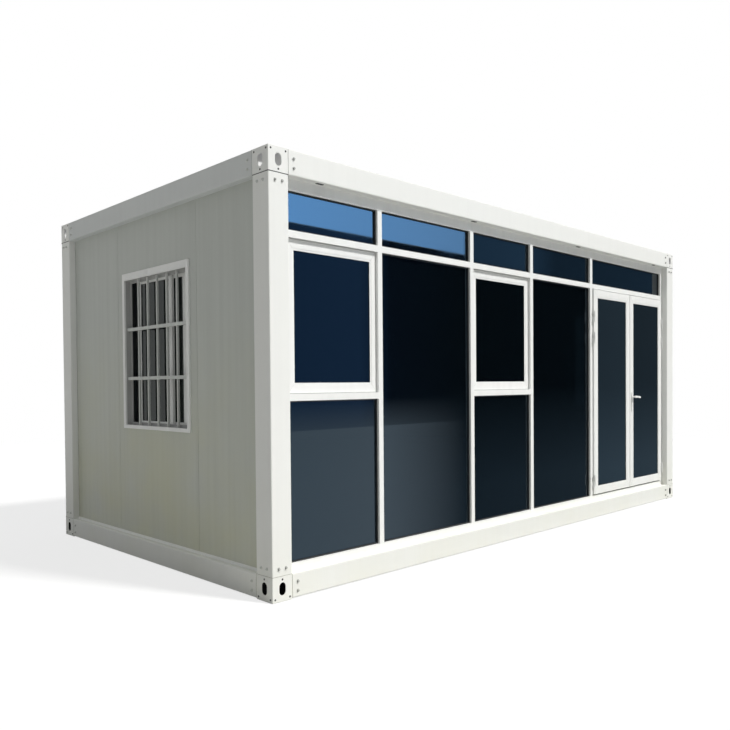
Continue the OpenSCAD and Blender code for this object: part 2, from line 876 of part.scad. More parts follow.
// Lower knuckle of a hinge on the mullion, with its pin and the web to its plate
module frame_hinge(z) {
    half = hinge_h / 2;
    member_x = -leaf_gap / 2;
    member_y = hinge_out + leaf_proud;
    translate([hinge_x, hinge_y, z - half]) {
        cylinder(r = knuckle_r, h = half);
        cylinder(r = pin_r, h = hinge_h);
        box([-knuckle_r - hinge_t, 0, 0], [member_x, member_y, half]);
        box([member_x - hinge_w, member_y - hinge_t, 0], [member_x, member_y, half]);
    }
}

module frame_hinges() {
    color(profile_white) for (z = hinge_zs) {
        frame_hinge(z);
        as_right_leaf() frame_hinge(z);
    }
}

module left_door_hinges() {
    color(profile_white) for (z = hinge_zs) leaf_hinge(z);
}

module right_door_hinges() {
    color(profile_white) as_right_leaf() for (z = hinge_zs) leaf_hinge(z);
}

module door_leaf() {
    glazed_frame(leaf, leaf_light, leaf_y, leaf_d, leaf_y + sash_glass_set);
}

module left_door_leaf() { color(profile_white) door_leaf(); }

module left_door_glass() {
    color(glass_tint) pane(leaf_light, leaf_y + sash_glass_set);
}

// Bore for the lever's spindle, through the leaf and its plates
module spindle_bore() {
    translate([lever_x, leaf_y - plate_t - over, lever_z]) rotate([-90, 0, 0])
        cylinder(r = spindle_r + fit, h = leaf_d + 2 * (plate_t + over));
}

module right_door_leaf() {
    color(profile_white) as_right_leaf() difference() {
        door_leaf();
        spindle_bore();
    }
}

module right_door_glass() {
    color(glass_tint) as_right_leaf() pane(leaf_light, leaf_y + sash_glass_set);
}

// Lock plate on a face of the leaf, with the nose of the lock cylinder
module lock_plate(y) {
    length = plate_up + plate_down;
    translate([lever_x, y + plate_t, lever_z + (plate_up - plate_down) / 2])
        rotate([90, 90, 0]) linear_extrude(plate_t) slot_outline(length, plate_w);
}

module lock_nose(y) {
    translate([lever_x, y, lever_z - lock_drop]) rotate([-90, 0, 0])
        cylinder(r = lock_r, h = plate_t);
}

module lock_plates() {
    color(profile_white) as_right_leaf() {
        difference() {
            union() {
                lock_plate(leaf_y - plate_t);
                lock_nose(leaf_y - plate_t - lock_out);
            }
            spindle_bore();
        }
        difference() {
            union() {
                lock_plate(leaf_y + leaf_d);
                lock_nose(leaf_y + leaf_d + lock_out);
            }
            spindle_bore();
        }
    }
}

// Grip of the lever from its pivot towards the hinges, and its neck to the plate
module lever_grip(y) {
    translate([lever_x - lever_l / 2 + lever_h / 2, y + lever_t, lever_z])
        rotate([90, 0, 0]) linear_extrude(lever_t) slot_outline(lever_l, lever_h);
}

module lever_neck(y, length) {
    translate([lever_x, y, lever_z]) rotate([-90, 0, 0]) cylinder(d = lever_h, h = length);
}

module door_lever() {
    neck = lever_out - plate_t - fit;
    back = leaf_y + leaf_d;
    color(profile_white) as_right_leaf() {
        lever_grip(leaf_y - lever_out);
        lever_neck(leaf_y - lever_out, neck);
        translate([lever_x, leaf_y - lever_out, lever_z]) rotate([-90, 0, 0])
            cylinder(r = spindle_r, h = leaf_d + 2 * lever_out);
        lever_neck(back + plate_t + fit, neck);
        lever_grip(back + lever_out - lever_t);
    }
}

top_corner_fittings();
bottom_corner_fittings();
front_left_post();
front_right_post();
back_left_post();
back_right_post();
front_top_beam();
back_top_beam();
left_top_beam();
right_top_beam();
front_bottom_beam();
back_bottom_beam();
left_bottom_beam();
right_bottom_beam();
roof_sheet();
roof_purlins();
ceiling_panels();
floor_board();
floor_joists();
left_plain_panels();
left_window_panel();
right_plain_panels();
right_window_panel();
back_wall_panels();
window_casings();
window_sashes();
window_glass();
window_bars();
front_head_rail();
front_sill_rail();
front_jambs();
front_mullions();
front_transoms();
casement_middle_rails();
transom_glass();
fixed_glass();
casement_sashes();
casement_glass();
frame_hinges();
left_door_leaf();
left_door_glass();
left_door_hinges();
right_door_leaf();
right_door_glass();
right_door_hinges();
lock_plates();
door_lever();
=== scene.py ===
"""Finishes and small fittings of a flat pack container house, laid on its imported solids."""

import math
from typing import NamedTuple

import bmesh
import bpy
from mathutils import Matrix, Vector


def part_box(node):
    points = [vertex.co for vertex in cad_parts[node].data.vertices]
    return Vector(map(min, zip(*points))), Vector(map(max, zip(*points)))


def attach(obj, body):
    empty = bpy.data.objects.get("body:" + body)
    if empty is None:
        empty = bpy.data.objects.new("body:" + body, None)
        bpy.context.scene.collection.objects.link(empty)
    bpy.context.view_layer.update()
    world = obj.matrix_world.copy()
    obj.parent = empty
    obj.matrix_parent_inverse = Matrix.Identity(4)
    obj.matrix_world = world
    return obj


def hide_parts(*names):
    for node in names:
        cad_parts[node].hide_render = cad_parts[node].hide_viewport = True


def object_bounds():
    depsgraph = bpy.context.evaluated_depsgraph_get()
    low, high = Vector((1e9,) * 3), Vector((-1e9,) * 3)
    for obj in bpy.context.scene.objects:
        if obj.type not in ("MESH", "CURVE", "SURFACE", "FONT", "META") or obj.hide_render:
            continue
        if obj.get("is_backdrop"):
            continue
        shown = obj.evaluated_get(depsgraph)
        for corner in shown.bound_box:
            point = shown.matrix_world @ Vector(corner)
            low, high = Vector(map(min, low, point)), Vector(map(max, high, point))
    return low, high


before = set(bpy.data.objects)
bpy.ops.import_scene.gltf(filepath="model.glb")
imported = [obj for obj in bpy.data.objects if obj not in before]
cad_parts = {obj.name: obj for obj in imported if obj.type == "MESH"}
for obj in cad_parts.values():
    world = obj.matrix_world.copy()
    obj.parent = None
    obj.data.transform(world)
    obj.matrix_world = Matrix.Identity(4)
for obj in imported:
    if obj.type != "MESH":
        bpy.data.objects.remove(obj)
CAD_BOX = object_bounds()

bl_info = {
    "name": "Flat Pack Container House",
    "version": (1, 0, 0),
    "blender": (4, 5, 0),
    "location": "View3D > Sidebar > House",
    "description": "Finishes and small fittings of a flat pack container house",
    "category": "Object",
}

MM = 0.001
NUMBER = "NodeSocketFloat"

# Sides of the house: the axis that each faces along, and which way
SIDES = {"front": (1, -1), "back": (1, 1), "left": (0, -1), "right": (0, 1)}
POSTS = [f"{a}_{b}_post" for a in ("front", "back") for b in ("left", "right")]
BEAMS = {f"{side}_{level}_beam": side for side in SIDES for level in ("top", "bottom")}
WALLS = {
    "left_plain_panels": "left", "left_window_panel": "left", "right_plain_panels": "right",
    "right_window_panel": "right", "back_wall_panels": "back"}

# Slots along the long top beams' soffits, their distance from the beam's ends and face, and their black
# plugs, which are painted shade of the slots
SLOT_COUNT = 4
SLOT_IN = 290 * MM
SLOT_SET = 30 * MM
PLUG_LONG = 66 * MM
PLUG_WIDE = 22 * MM
PLUG_THICK = 1.2 * MM

# Thin trim of the windows and doors; the black track liners and the grey strips at the casements' feet are
# painted shade
SHADE_LINER = 1 * MM
CASEMENT_SEAL_TALL = 4 * MM
CASEMENT_SEAL_PROUD = 0.4 * MM
BEAD = 14 * MM
MITRE_PROUD = 0.2 * MM
# Share of the way from a sash's corner to its bead at which a mitre starts
MITRE_START = 0.02

# Thickness of the door's plates, and places of the screws, knuckles and keyholes on them
HINGE_PLATE = 3 * MM
HINGE_SCREW_IN = 9 * MM
KNUCKLE = 7 * MM
LOCK_PLATE = 8 * MM
LOCK_SCREW_LOW = 11 * MM
LOCK_SCREW_HIGH = 16 * MM
KEYHOLE_RISE = 60 * MM
KEYHOLE_WIDE = 2 * MM
KEYHOLE_TALL = 9 * MM
KEYHOLE_PROUD = 0.3 * MM

# The lever: rings of its neck (share of the way out, radius), and sections of its grip (share of the
# reach, share of the height, share of the depth)
NECK_GAP = 0.4 * MM
NECK = ((0.0, 12.5 * MM), (0.12, 12.5 * MM), (0.2, 9 * MM), (0.5, 8.4 * MM), (1.0, 9 * MM))
GRIP = ((-0.075, 0.25, 0.3), (-0.068, 0.62, 0.66), (-0.045, 0.92, 0.9), (0.0, 1.0, 1.0),
        (0.12, 0.98, 1.0), (0.3, 0.86, 0.94), (0.55, 0.82, 0.88), (0.8, 0.86, 0.86),
        (0.93, 0.84, 0.82), (0.975, 0.66, 0.66), (0.995, 0.34, 0.36), (1.0, 0.12, 0.14))
GRIP_HALF = 6.5 * MM
GRIP_DROOP = 7 * MM
LEVER_TURNS = [2 * math.pi * i / 24 for i in range(24)]

# The stage, in metres: light, camera, floor, and the cards that the panes mirror
KEY_PLACE = (5.0, -11.0, 15.6)
KEY_TARGET = (0.0, 0.0, 1.4)
KEY_WIDTH = math.radians(7)
CAMERA_PLACE = (-5.757, -4.976, 1.336)
CAMERA_AXES = ((0.737, -0.6758, -0.0092), (0.0195, 0.0075, 0.9998), (-0.6756, -0.737, 0.0187))
CAMERA_LENS = 36.07
CAMERA_SENSOR = 36.0
CAMERA_SHIFT = (0.0622, 0.0464)
FLOOR_HALF = 60.0
FLOOR_FADE = (5.0, 13.0)
CARD_Y = -14.0
NEAR_CARD_Y = -2.6
NEAR_FOOT = 0.004
TRANSOM_FADE = (2.55, 2.7)
# The camera's place mirrored in the front's glass: the near card's slanted fades fan out from there
FAN_X = CAMERA_PLACE[0]
FAN_Y = 2.146


def colour(name, description, default):
    """A colour that a user may change."""
    return bpy.props.FloatVectorProperty(
        name=name, description=description, default=default, subtype="COLOR", size=3, min=0, max=1)


def length(name, description, millimetres):
    """A length that a user may change."""
    return bpy.props.FloatProperty(
        name=name, description=description, default=millimetres * MM, unit="LENGTH", min=0)


def strength(name, description, default):
    """Strength of a light that a user may change."""
    return bpy.props.FloatProperty(
        name=name, description=description, default=default, subtype="UNSIGNED", min=0)


def share(name, description, default):
    """A share from none to all that a user may change."""
    return bpy.props.FloatProperty(
        name=name, description=description, default=default, subtype="FACTOR", min=0, max=1)


class HouseColours(bpy.types.PropertyGroup):
    """Colours of the house's finishes."""

    frame_paint: colour("Frame paint", "White paint of the posts, beams and fittings", (0.86, 0.865, 0.845))
    end_beam: colour("End beam", "Greyer paint of the top beams at the two ends", (0.68, 0.70, 0.70))
    wall_panel: colour("Wall panel", "Coating of the sandwich panels", (0.555, 0.577, 0.548))
    dust_and_ground_bounce: colour("Dust and ground bounce", "Low dust, and painted warm ground bounce on the walls and frame", (0.68, 0.66, 0.34))
    profile: colour("Profile", "Powder coat of the window and door profiles", (0.885, 0.89, 0.88))
    bar_paint: colour("Bar paint", "Paint of the window bars", (0.66, 0.68, 0.66))
    tinted_glass: colour("Tinted glass", "Body colour of the front's glass", (0.004, 0.008, 0.012))
    glass_shine: colour("Glass shine", "Colour of the front glass's reflections", (0.48, 0.75, 1.0))
    window_glass: colour("Window glass", "Body colour of the end windows' glass", (0.033, 0.046, 0.042))
    window_shine: colour("Window shine", "Colour of the end windows' reflections", (0.8, 0.95, 0.9))
    gasket: colour("Gasket", "Rubber of the glazing gaskets and joint seals", (0.012, 0.013, 0.014))
    bolt: colour("Bolt", "Grey paint of the bolts in front and back", (0.42, 0.43, 0.42))
    end_bolt: colour("End bolt", "Paler paint of the bolts in the two ends", (0.66, 0.67, 0.65))
    screw: colour("Screw", "Zinc of the screws in hinges and lock plates", (0.48, 0.50, 0.50))
    # The two colours inside the fittings are painted light and painted shade
    inside_painted_light: colour("Inside light", "Brighter tone inside the top corner fittings as painted light", (0.96, 0.96, 0.96))
    inside_painted_shade: colour("Inside shade", "Near-black painted shade inside the bottom corner fittings", (0.012, 0.012, 0.012))
    galvanized: colour("Galvanized steel", "Purlins and floor joists", (0.56, 0.58, 0.60))
    roof_sheet: colour("Roof sheet", "Coating of the ribbed roof sheet", (0.66, 0.69, 0.71))
    floor_board: colour("Floor board", "Covering of the floor board", (0.34, 0.32, 0.29))
    ceiling: colour("Ceiling", "Coating of the ceiling panels", (0.78, 0.78, 0.76))


class BoltSizes(bpy.types.PropertyGroup):
    """Sizes and places of the frame's bolts and the roof's screws."""

    head_radius: length("Head radius", "Radius of a frame bolt's six-sided head", 8)
    head_height: length("Head height", "Height of a frame bolt's head", 8)
    washer_radius: length("Washer radius", "Radius of a frame bolt's washer", 10)
    washer_height: length("Washer height", "Thickness of a frame bolt's washer", 1.5)
    post_in: length("From the post's end", "Distance of the bolts from a post's ends", 47)
    post_apart: length("Apart on a post", "Distance between a post's two bolts", 57)
    beam_in: length("From the beam's end", "Distance of the bolts from a beam's ends", 45)
    beam_upper: length("Under the beam's top", "Distance of a beam's upper bolt from its top", 54)
    beam_apart: length("Apart on a beam", "Distance between a beam's two bolts", 59)
    roof_head: length("Roof screw head", "Radius of a roof screw's head", 5)
    roof_washer: length("Roof screw washer", "Radius of a roof screw's washer", 9)
    cap_radius: length("Cap radius", "Radius of the caps in the fittings' small holes", 6.6)
    cap_in: length("Cap inset", "Distance of the small holes from a fitting's edges", 21)
    small_head: length("Small screw head", "Radius of the screws in hinges and lock plates", 3)


class PanelSizes(bpy.types.PropertyGroup):
    """Sizes of the wall panels' shallow ribs and of the trims along their feet."""

    rib_pitch: length("Rib pitch", "Distance from one rib to the next", 75)
    rib_foot: length("Rib foot", "Width of a rib at the panel's face", 40)
    rib_top: length("Rib top", "Width of a rib's flat top", 28)
    rib_rise: length("Rib rise", "Height of a rib over the panel's face", 0.7)
    rib_end: length("Rib end", "Distance of the ribs from beams, trims and window", 3)
    foot_depth: length("Foot trim depth", "How far the trim at a wall's foot stands out", 14)
    foot_face: length("Foot trim face", "Height of the trim's upright face", 4)
    foot_height: length("Foot trim height", "Height of the trim at the panel's face", 14)


class GlazingSizes(bpy.types.PropertyGroup):
    """Sizes of the gaskets and seals."""

    glass_bite: length("Glass bite", "How far a pane reaches into its groove", 10)
    lining_face: length("Lining face", "Width of the rubber lining round a fixed pane", 9)
    lining_set: length("Lining set", "Distance of the rubber lining behind the profile's face", 17)
    gasket_face: length("Gasket face", "Width of the gasket round a casement's or door's pane", 3)
    gasket_depth: length("Gasket depth", "Depth of the gasket round a casement's or door's pane", 3)
    window_face: length("Window gasket face", "Width of the gasket round an end window's pane", 2.1)
    inner_depth: length("Inner gasket depth", "Depth of the gasket on the room side", 3)
    # The seals are thin dark strips that stand in for the shade of the open joints
    seal_height: length("Seal height", "Height of the seal between a post and a top fitting", 5)
    foot_seal: length("Foot seal", "Height of the seal between a post and a bottom fitting", 2.4)
    seal_width: length("Beam seal width", "Width of the seal between a beam and a fitting", 2)
    seal_proud: length("Seal proud", "How far the seals stand out of the frame's face", 0.5)
    mitre_width: length("Mitre width", "Width of the mitred joints in sashes and door leaves", 0.9)


class StageLight(bpy.types.PropertyGroup):
    """Light and floor of the picture."""

    key: strength("Key", "Strength of the main light from the front right", 3.3)
    ambient: strength("Ambient", "Strength of the soft light from the sides", 0.05)
    overhead: strength("Overhead", "Strength of the soft light from straight above", 0.58)
    sky: strength("Sky card", "Strength of the blue card that the top panes mirror", 5.5)
    shadow: share("Shadow", "How much of the shadow shows on the pale floor", 0.28)


class Coat(NamedTuple):
    """A paint or coating: heights in metres, grain in cells a metre, streaks and the low tint as shares;
    the low tint is dust, and on the frame and walls partly painted warm bounce light from the ground.
    """

    colour: str
    rough: float
    dust_and_bounce_top: float = 0.5
    dust_and_bounce_share: float = 0.25
    streak: float = 0.08
    grain: float = 400.0
    grain_depth: float = 0.04
    factor: float = 1.0


COATS = {
    # On the frame paint and the panel coating the low tint is partly dust and partly painted warm light
    # bounced and mirrored from the ground
    "Frame paint": Coat("frame_paint", 0.38, 0.8, 0.11, 0.018),
    # The end top beams are greyer than the frame paint as painted shade
    "End beam paint": Coat("end_beam", 0.42, 0.4, 0.0, 0.03),
    "Panel coating": Coat("wall_panel", 0.36, 1.9, 0.36, 0.06, 260.0),
    "Roof coating": Coat("roof_sheet", 0.42, 4.0, 0.3, 0.12, 300.0),
    "Ceiling coating": Coat("ceiling", 0.5, 0.1, 0.0, 0.04, 300.0),
    "Profile powder coat": Coat("profile", 0.32, 0.5, 0.10, 0.04, 900.0),
    "Casing powder coat": Coat("profile", 0.32, 0.5, 0.0, 0.04, 900.0),
    "Lever coat": Coat("profile", 0.26, 0.1, 0.0, 0.03, 900.0, factor=1.03),
    "Bar paint": Coat("bar_paint", 0.45, 1.4, 0.12, 0.16, 500.0, 0.08),
    # Bolts in front and back are darker than those at the ends as painted shade of the shadows cast by
    # their heads
    "Paint of frame_bolts": Coat("bolt", 0.45, 0.4, 0.1, 0.05),
    "Paint of end_bolts": Coat("end_bolt", 0.45, 0.4, 0.1, 0.05),
    # Dark grey of the joint strips, painted shade
    "Beam seal": Coat("frame_paint", 0.6, factor=0.45),
    "Mitre joint": Coat("profile", 0.6, factor=0.42),
}


class Build:
    """Adds nodes to a tree, with their inputs linked or set."""

    def __init__(self, tree):
        self.tree = tree

    def feed(self, node, inputs):
        for key, value in inputs.items():
            if isinstance(value, bpy.types.NodeSocket):
                self.tree.links.new(value, node.inputs[key])
            else:
                node.inputs[key].default_value = value

    def node(self, kind, inputs=None, **settings):
        made = self.tree.nodes.new(kind)
        for name, value in settings.items():
            setattr(made, name, value)
        self.feed(made, inputs or {})
        return made

    def out(self, kind, inputs=None, socket=0, **settings):
        return self.node(kind, inputs, **settings).outputs[socket]

    def math(self, operation, a, b=0.0):
        return self.out("ShaderNodeMath", {0: a, 1: b}, operation=operation)

    def times(self, a, b):
        return self.math("MULTIPLY", a, b)

    def ranged(self, value, low, high, to_low, to_high):
        return self.out("ShaderNodeMapRange", {
            "Value": value, "From Min": low, "From Max": high,
            "To Min": to_low, "To Max": to_high}, "Result")

    def noise(self, where, scale, detail=4.0):
        return self.out("ShaderNodeTexNoise", {"Vector": where, "Scale": scale, "Detail": detail}, "Fac")

    def blended(self, factor, a, b):
        return self.out("ShaderNodeMix", {0: factor, 6: a, 7: b}, 2, data_type="RGBA")

    def mixed(self, factor, a, b):
        return self.out("ShaderNodeMixShader", {0: factor, 1: a, 2: b})

    def axes(self, where):
        return self.node("ShaderNodeSeparateXYZ", {0: where}).outputs

    def vector(self, x=0.0, y=0.0, z=0.0):
        return self.out("ShaderNodeCombineXYZ", {"X": x, "Y": y, "Z": z})

    def where(self):
        return self.out("ShaderNodeTexCoord", socket="Object")

    def stored(self, name, kind):
        return self.out("GeometryNodeInputNamedAttribute", {"Name": name}, data_type=kind)


def tone(name, factor=1.0):
    """A colour of the house, made darker or lighter by a factor, as four numbers."""
    values = getattr(bpy.context.scene.house_colours, name)
    return (*[min(1.0, v * factor) for v in values], 1.0)


def new_material(name):
    """A new material, its node builder, its shader node and its Object coordinates."""
    material = bpy.data.materials.new(name)
    material.use_nodes = True
    build = Build(material.node_tree)
    return material, build, material.node_tree.nodes["Principled BSDF"], build.where()


def coat(name, like=None):
    """Painted or coated surface with faint streaks, a fine grain and a low tint that is part dust and part
    painted bounce light from the ground.
    """
    if name in bpy.data.materials:
        return bpy.data.materials[name]
    spec = COATS[like or name]
    material, build, shader, where = new_material(name)
    clouds = build.noise(where, 1.9, 6.0)
    drawn = build.out("ShaderNodeMapping", {"Vector": where, "Scale": (21.0, 21.0, 0.55)})
    streaks = build.noise(drawn, 1.0, 5.0)
    grain = build.noise(where, spec.grain, 2.0)
    # The low tint is partly dust and partly painted bounce light from the ground
    low = build.ranged(build.axes(where)["Z"], 0.0, spec.dust_and_bounce_top, spec.dust_and_bounce_share, 0.0)
    dust_and_bounce_mask = build.times(low, build.ranged(clouds, 0.3, 0.7, 0.35, 1.3))
    streaked = build.blended(
        build.ranged(streaks, 0.42, 0.72, 0.0, 1.0),
        tone(spec.colour, spec.factor), tone(spec.colour, spec.factor * (1 - spec.streak)))
    clouded = build.blended(
        build.ranged(clouds, 0.35, 0.75, 0.0, 0.5),
        streaked, tone(spec.colour, spec.factor * (1 - 0.6 * spec.streak)))
    build.feed(shader, {
        "Specular IOR Level": 0.14,
        "Base Color": build.blended(dust_and_bounce_mask, clouded, tone("dust_and_ground_bounce")),
        "Roughness": build.ranged(clouds, 0.3, 0.7, spec.rough - 0.05, spec.rough + 0.07),
        "Normal": build.out("ShaderNodeBump", {
            "Strength": spec.grain_depth, "Distance": 2 * MM, "Height": grain}, "Normal")})
    return material


def paint_within(material, near_x, half_x, half_y, low_z, high_z, paint):
    """Puts another tone on the faces that lie inside a box at each end of the house: painted shade in the
    window reveals and bottom fittings, painted light in the top fittings.
    """
    build = Build(material.node_tree)
    skin = material.node_tree.nodes["Principled BSDF"].inputs["Base Color"]
    axes = build.axes(build.where())
    along = build.math("ABSOLUTE", axes["X"])
    across = build.math("ABSOLUTE", axes["Y"])
    inside = build.math("LESS_THAN", along, half_x)
    for test, value, edge in (("GREATER_THAN", along, near_x), ("LESS_THAN", across, half_y),
                              ("GREATER_THAN", axes["Z"], low_z), ("LESS_THAN", axes["Z"], high_z)):
        inside = build.times(inside, build.math(test, value, edge))
    build.tree.links.new(build.blended(inside, skin.links[0].from_socket, paint), skin)
    return material


def fitting_paint(node, inside):
    """Frame paint of the corner fittings, painted brighter inside the top ones as painted light and
    near-black inside the bottom ones as painted shade.
    """
    low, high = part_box(node)
    skin = 3 * MM
    return paint_within(coat("Paint of " + node, "Frame paint"), 0.0, high.x - skin, high.y - skin,
                        low.z + skin, high.z - skin, tone(inside))


def casing_coat_with_painted_shade():
    """Powder coat of the window casings, darkened to half in the reveal as painted shade."""
    panel_low, panel_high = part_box("left_window_panel")
    low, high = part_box("window_casings")
    unshaded_edge = 2 * MM
    # The reveal within the wall's thickness gets half the profile colour as painted shade, all but a thin
    # edge at the face
    return paint_within(coat("Casing powder coat"), -panel_high.x, -panel_low.x - unshaded_edge,
                        high.y - low.y, low.z, high.z, tone("profile", 0.5))


def glass(name, base, shine, specular, clear, ior):
    """Glass with a faint film that varies its gloss."""
    material, build, shader, where = new_material(name)
    film = build.noise(where, 2.3, 6.0)
    build.feed(shader, {
        "Base Color": tone(base), "Specular Tint": tone(shine), "Specular IOR Level": specular,
        "Transmission Weight": clear, "IOR": ior,
        "Roughness": build.ranged(film, 0.35, 0.75, 0.015, 0.05)})
    return material


def rubber():
    """Black rubber with a faint bloom; it also serves as painted shade in holes, slots, tracks, joints and
    the keyhole.
    """
    if "Gasket rubber" in bpy.data.materials:
        return bpy.data.materials["Gasket rubber"]
    material, build, shader, where = new_material("Gasket rubber")
    bloom = build.noise(where, 38.0)
    bloomed = build.ranged(bloom, 0.4, 0.8, 0.0, 1.0)
    build.feed(shader, {
        "Base Color": build.blended(bloomed, tone("gasket"), tone("gasket", 2.4)),
        "Roughness": build.ranged(bloom, 0.3, 0.7, 0.5, 0.75)})
    return material


def zinc(name, base, rough, spangle):
    """Zinc coated steel with a crystal pattern."""
    material, build, shader, where = new_material(name)
    crystals = build.out("ShaderNodeTexVoronoi", {"Vector": where, "Scale": spangle}, "Color")
    grey = build.out("ShaderNodeSeparateColor", {0: crystals})
    build.feed(shader, {
        "Base Color": build.blended(grey, tone(base, 0.8), tone(base, 1.15)),
        "Roughness": build.ranged(grey, 0.0, 1.0, rough - 0.08, rough + 0.1),
        "Metallic": 0.85})
    return material


def floor_covering():
    """Grey sheet covering with a fine fleck."""
    material, build, shader, where = new_material("Floor covering")
    fleck = build.noise(where, 90.0, 3.0)
    clouds = build.noise(where, 1.2)
    flecked = build.blended(build.ranged(fleck, 0.45, 0.62, 0.0, 1.0),
                            tone("floor_board", 0.88), tone("floor_board", 1.12))
    worn = build.ranged(clouds, 0.4, 0.8, 0.0, 0.3)
    build.feed(shader, {
        "Base Color": build.blended(worn, flecked, tone("dust_and_ground_bounce")),
        "Roughness": build.ranged(clouds, 0.3, 0.7, 0.45, 0.65)})
    return material


def dress(material, *nodes):
    """Puts a finish on carried-over nodes."""
    for name in nodes:
        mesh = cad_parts[name].data
        mesh.materials.clear()
        mesh.materials.append(material)


def solids(node):
    """Lowest and highest corners of a node's separate solids, from left to right."""
    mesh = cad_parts[node].data
    keys = [tuple(round(c, 5) for c in v.co) for v in mesh.vertices]
    owner = {k: k for k in keys}

    def root(k):
        while owner[k] != k:
            owner[k] = owner[owner[k]]
            k = owner[k]
        return k

    for polygon in mesh.polygons:
        first, *rest = (keys[i] for i in polygon.vertices)
        for k in rest:
            owner[root(k)] = root(first)
    groups = {}
    for k in owner:
        groups.setdefault(root(k), []).append(k)
    boxes = [(Vector(map(min, zip(*g))), Vector(map(max, zip(*g)))) for g in groups.values()]
    return sorted(boxes, key=lambda b: tuple(round(c, 3) for c in b[0]))


def at(axis, depth, along, z):
    """Point on a side that faces along an axis: its depth, its place along the side and its height."""
    return Vector((along, depth, z) if axis else (depth, along, z))


def facing(side):
    """The way that a side of the house faces."""
    axis, sign = SIDES[side]
    return at(axis, sign, 0, 0)


def outer(box, side):
    """Depth of a box's outward face on a side of the house."""
    axis, sign = SIDES[side]
    return box[sign > 0][axis]


def corner_sides(box):
    """The two sides of the house on which a corner's box stands."""
    middle = box[0] + box[1]
    return "back" if middle.y > 0 else "front", "right" if middle.x > 0 else "left"


def span(box, side):
    """Depth of a box's outward face on a side of the house, and its start and end along that side."""
    run = 1 - SIDES[side][0]
    return outer(box, side), box[0][run], box[1][run]


def frame_faces():
    """Outward faces of the frame: whether it is a post's, its side, its span, and its low and high z."""
    faces = [(True, post, side) for post in POSTS for side in corner_sides(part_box(post))]
    faces += [(False, beam, side) for beam, side in BEAMS.items()]
    for is_post, node, side in faces:
        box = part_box(node)
        yield is_post, side, span(box, side), box[0].z, box[1].z


def add_box(bm, low, high):
    """Closed box between two opposite corners."""
    corners = [bm.verts.new((x, y, z))
               for z in (low[2], high[2]) for y in (low[1], high[1]) for x in (low[0], high[0])]
    for face in ((0, 2, 3, 1), (4, 5, 7, 6), (0, 1, 5, 4), (3, 2, 6, 7), (2, 0, 4, 6), (1, 3, 7, 5)):
        bm.faces.new([corners[i] for i in face])


def add_strip(bm, side, face, proud, start, end, low_z, high_z):
    """Thin closed strip that stands out of a face on a side of the house."""
    axis, sign = SIDES[side]
    add_box(bm, at(axis, face, start, low_z), at(axis, face + sign * proud, end, high_z))


def add_loft(bm, rings):
    """Closed skin over rings of equal point count."""
    loops = [[bm.verts.new(p) for p in ring] for ring in rings]
    for here, there in zip(loops, loops[1:]):
        for i in range(len(here)):
            j = (i + 1) % len(here)
            bm.faces.new((here[i], here[j], there[j], there[i]))
    bm.faces.new(loops[0])
    bm.faces.new(loops[-1])


def add_ring(bm, axis, outside, inside, near, far):
    """Closed rectangular frame, its outlines given as (low, high, low, high)."""
    loops = []
    for rim, depth in ((outside, near), (inside, near), (inside, far), (outside, far)):
        corners = ((rim[0], rim[2]), (rim[1], rim[2]), (rim[1], rim[3]), (rim[0], rim[3]))
        loops.append([bm.verts.new(at(axis, depth, a, b)) for a, b in corners])
    for here, there in zip(loops, loops[1:] + loops[:1]):
        for i in range(4):
            j = (i + 1) % 4
            bm.faces.new((here[i], here[j], there[j], there[i]))


def shrunk(rim, by):
    """A rectangle (low, high, low, high) moved in on all sides."""
    return (rim[0] + by, rim[1] - by, rim[2] + by, rim[3] - by)


def pane_light(axis, low, high, bite):
    """Clear opening of a pane, as (low along, high along, low z, high z)."""
    return shrunk((low[1 - axis], high[1 - axis], low.z, high.z), bite)


def linked(name, data):
    """New object in the scene."""
    made = bpy.data.objects.new(name, data)
    bpy.context.scene.collection.objects.link(made)
    return made


def settle(name, bm, material, body, smooth=False):
    """Turns a built shape into a piece of the house."""
    bmesh.ops.recalc_face_normals(bm, faces=bm.faces)
    mesh = bpy.data.meshes.new(name)
    bm.to_mesh(mesh)
    bm.free()
    mesh.polygons.foreach_set("use_smooth", [smooth] * len(mesh.polygons))
    mesh.materials.append(material)
    piece = linked(name, mesh)
    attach(piece, body)
    return piece


def new_tree(name, inputs):
    """Geometry Nodes tree with named inputs: the tree, its builder, input node and input identifiers."""
    tree = bpy.data.node_groups.new(name, "GeometryNodeTree")
    face = tree.interface
    face.new_socket("Geometry", in_out="INPUT", socket_type="NodeSocketGeometry")
    names = {label: face.new_socket(label, in_out="INPUT", socket_type=kind).identifier
             for label, kind in inputs.items()}
    face.new_socket("Geometry", in_out="OUTPUT", socket_type="NodeSocketGeometry")
    build = Build(tree)
    return tree, build, build.node("NodeGroupInput").outputs, names


def end_tree(build, instances, material):
    """Makes the instances real, gives them their finish and ends the tree."""
    real = build.out("GeometryNodeRealizeInstances", {"Geometry": instances})
    flat = build.out("GeometryNodeSetShadeSmooth", {"Geometry": real, "Shade Smooth": False})
    done = build.out("GeometryNodeSetMaterial", {"Geometry": flat, "Material": material})
    build.node("NodeGroupOutput", {"Geometry": done})


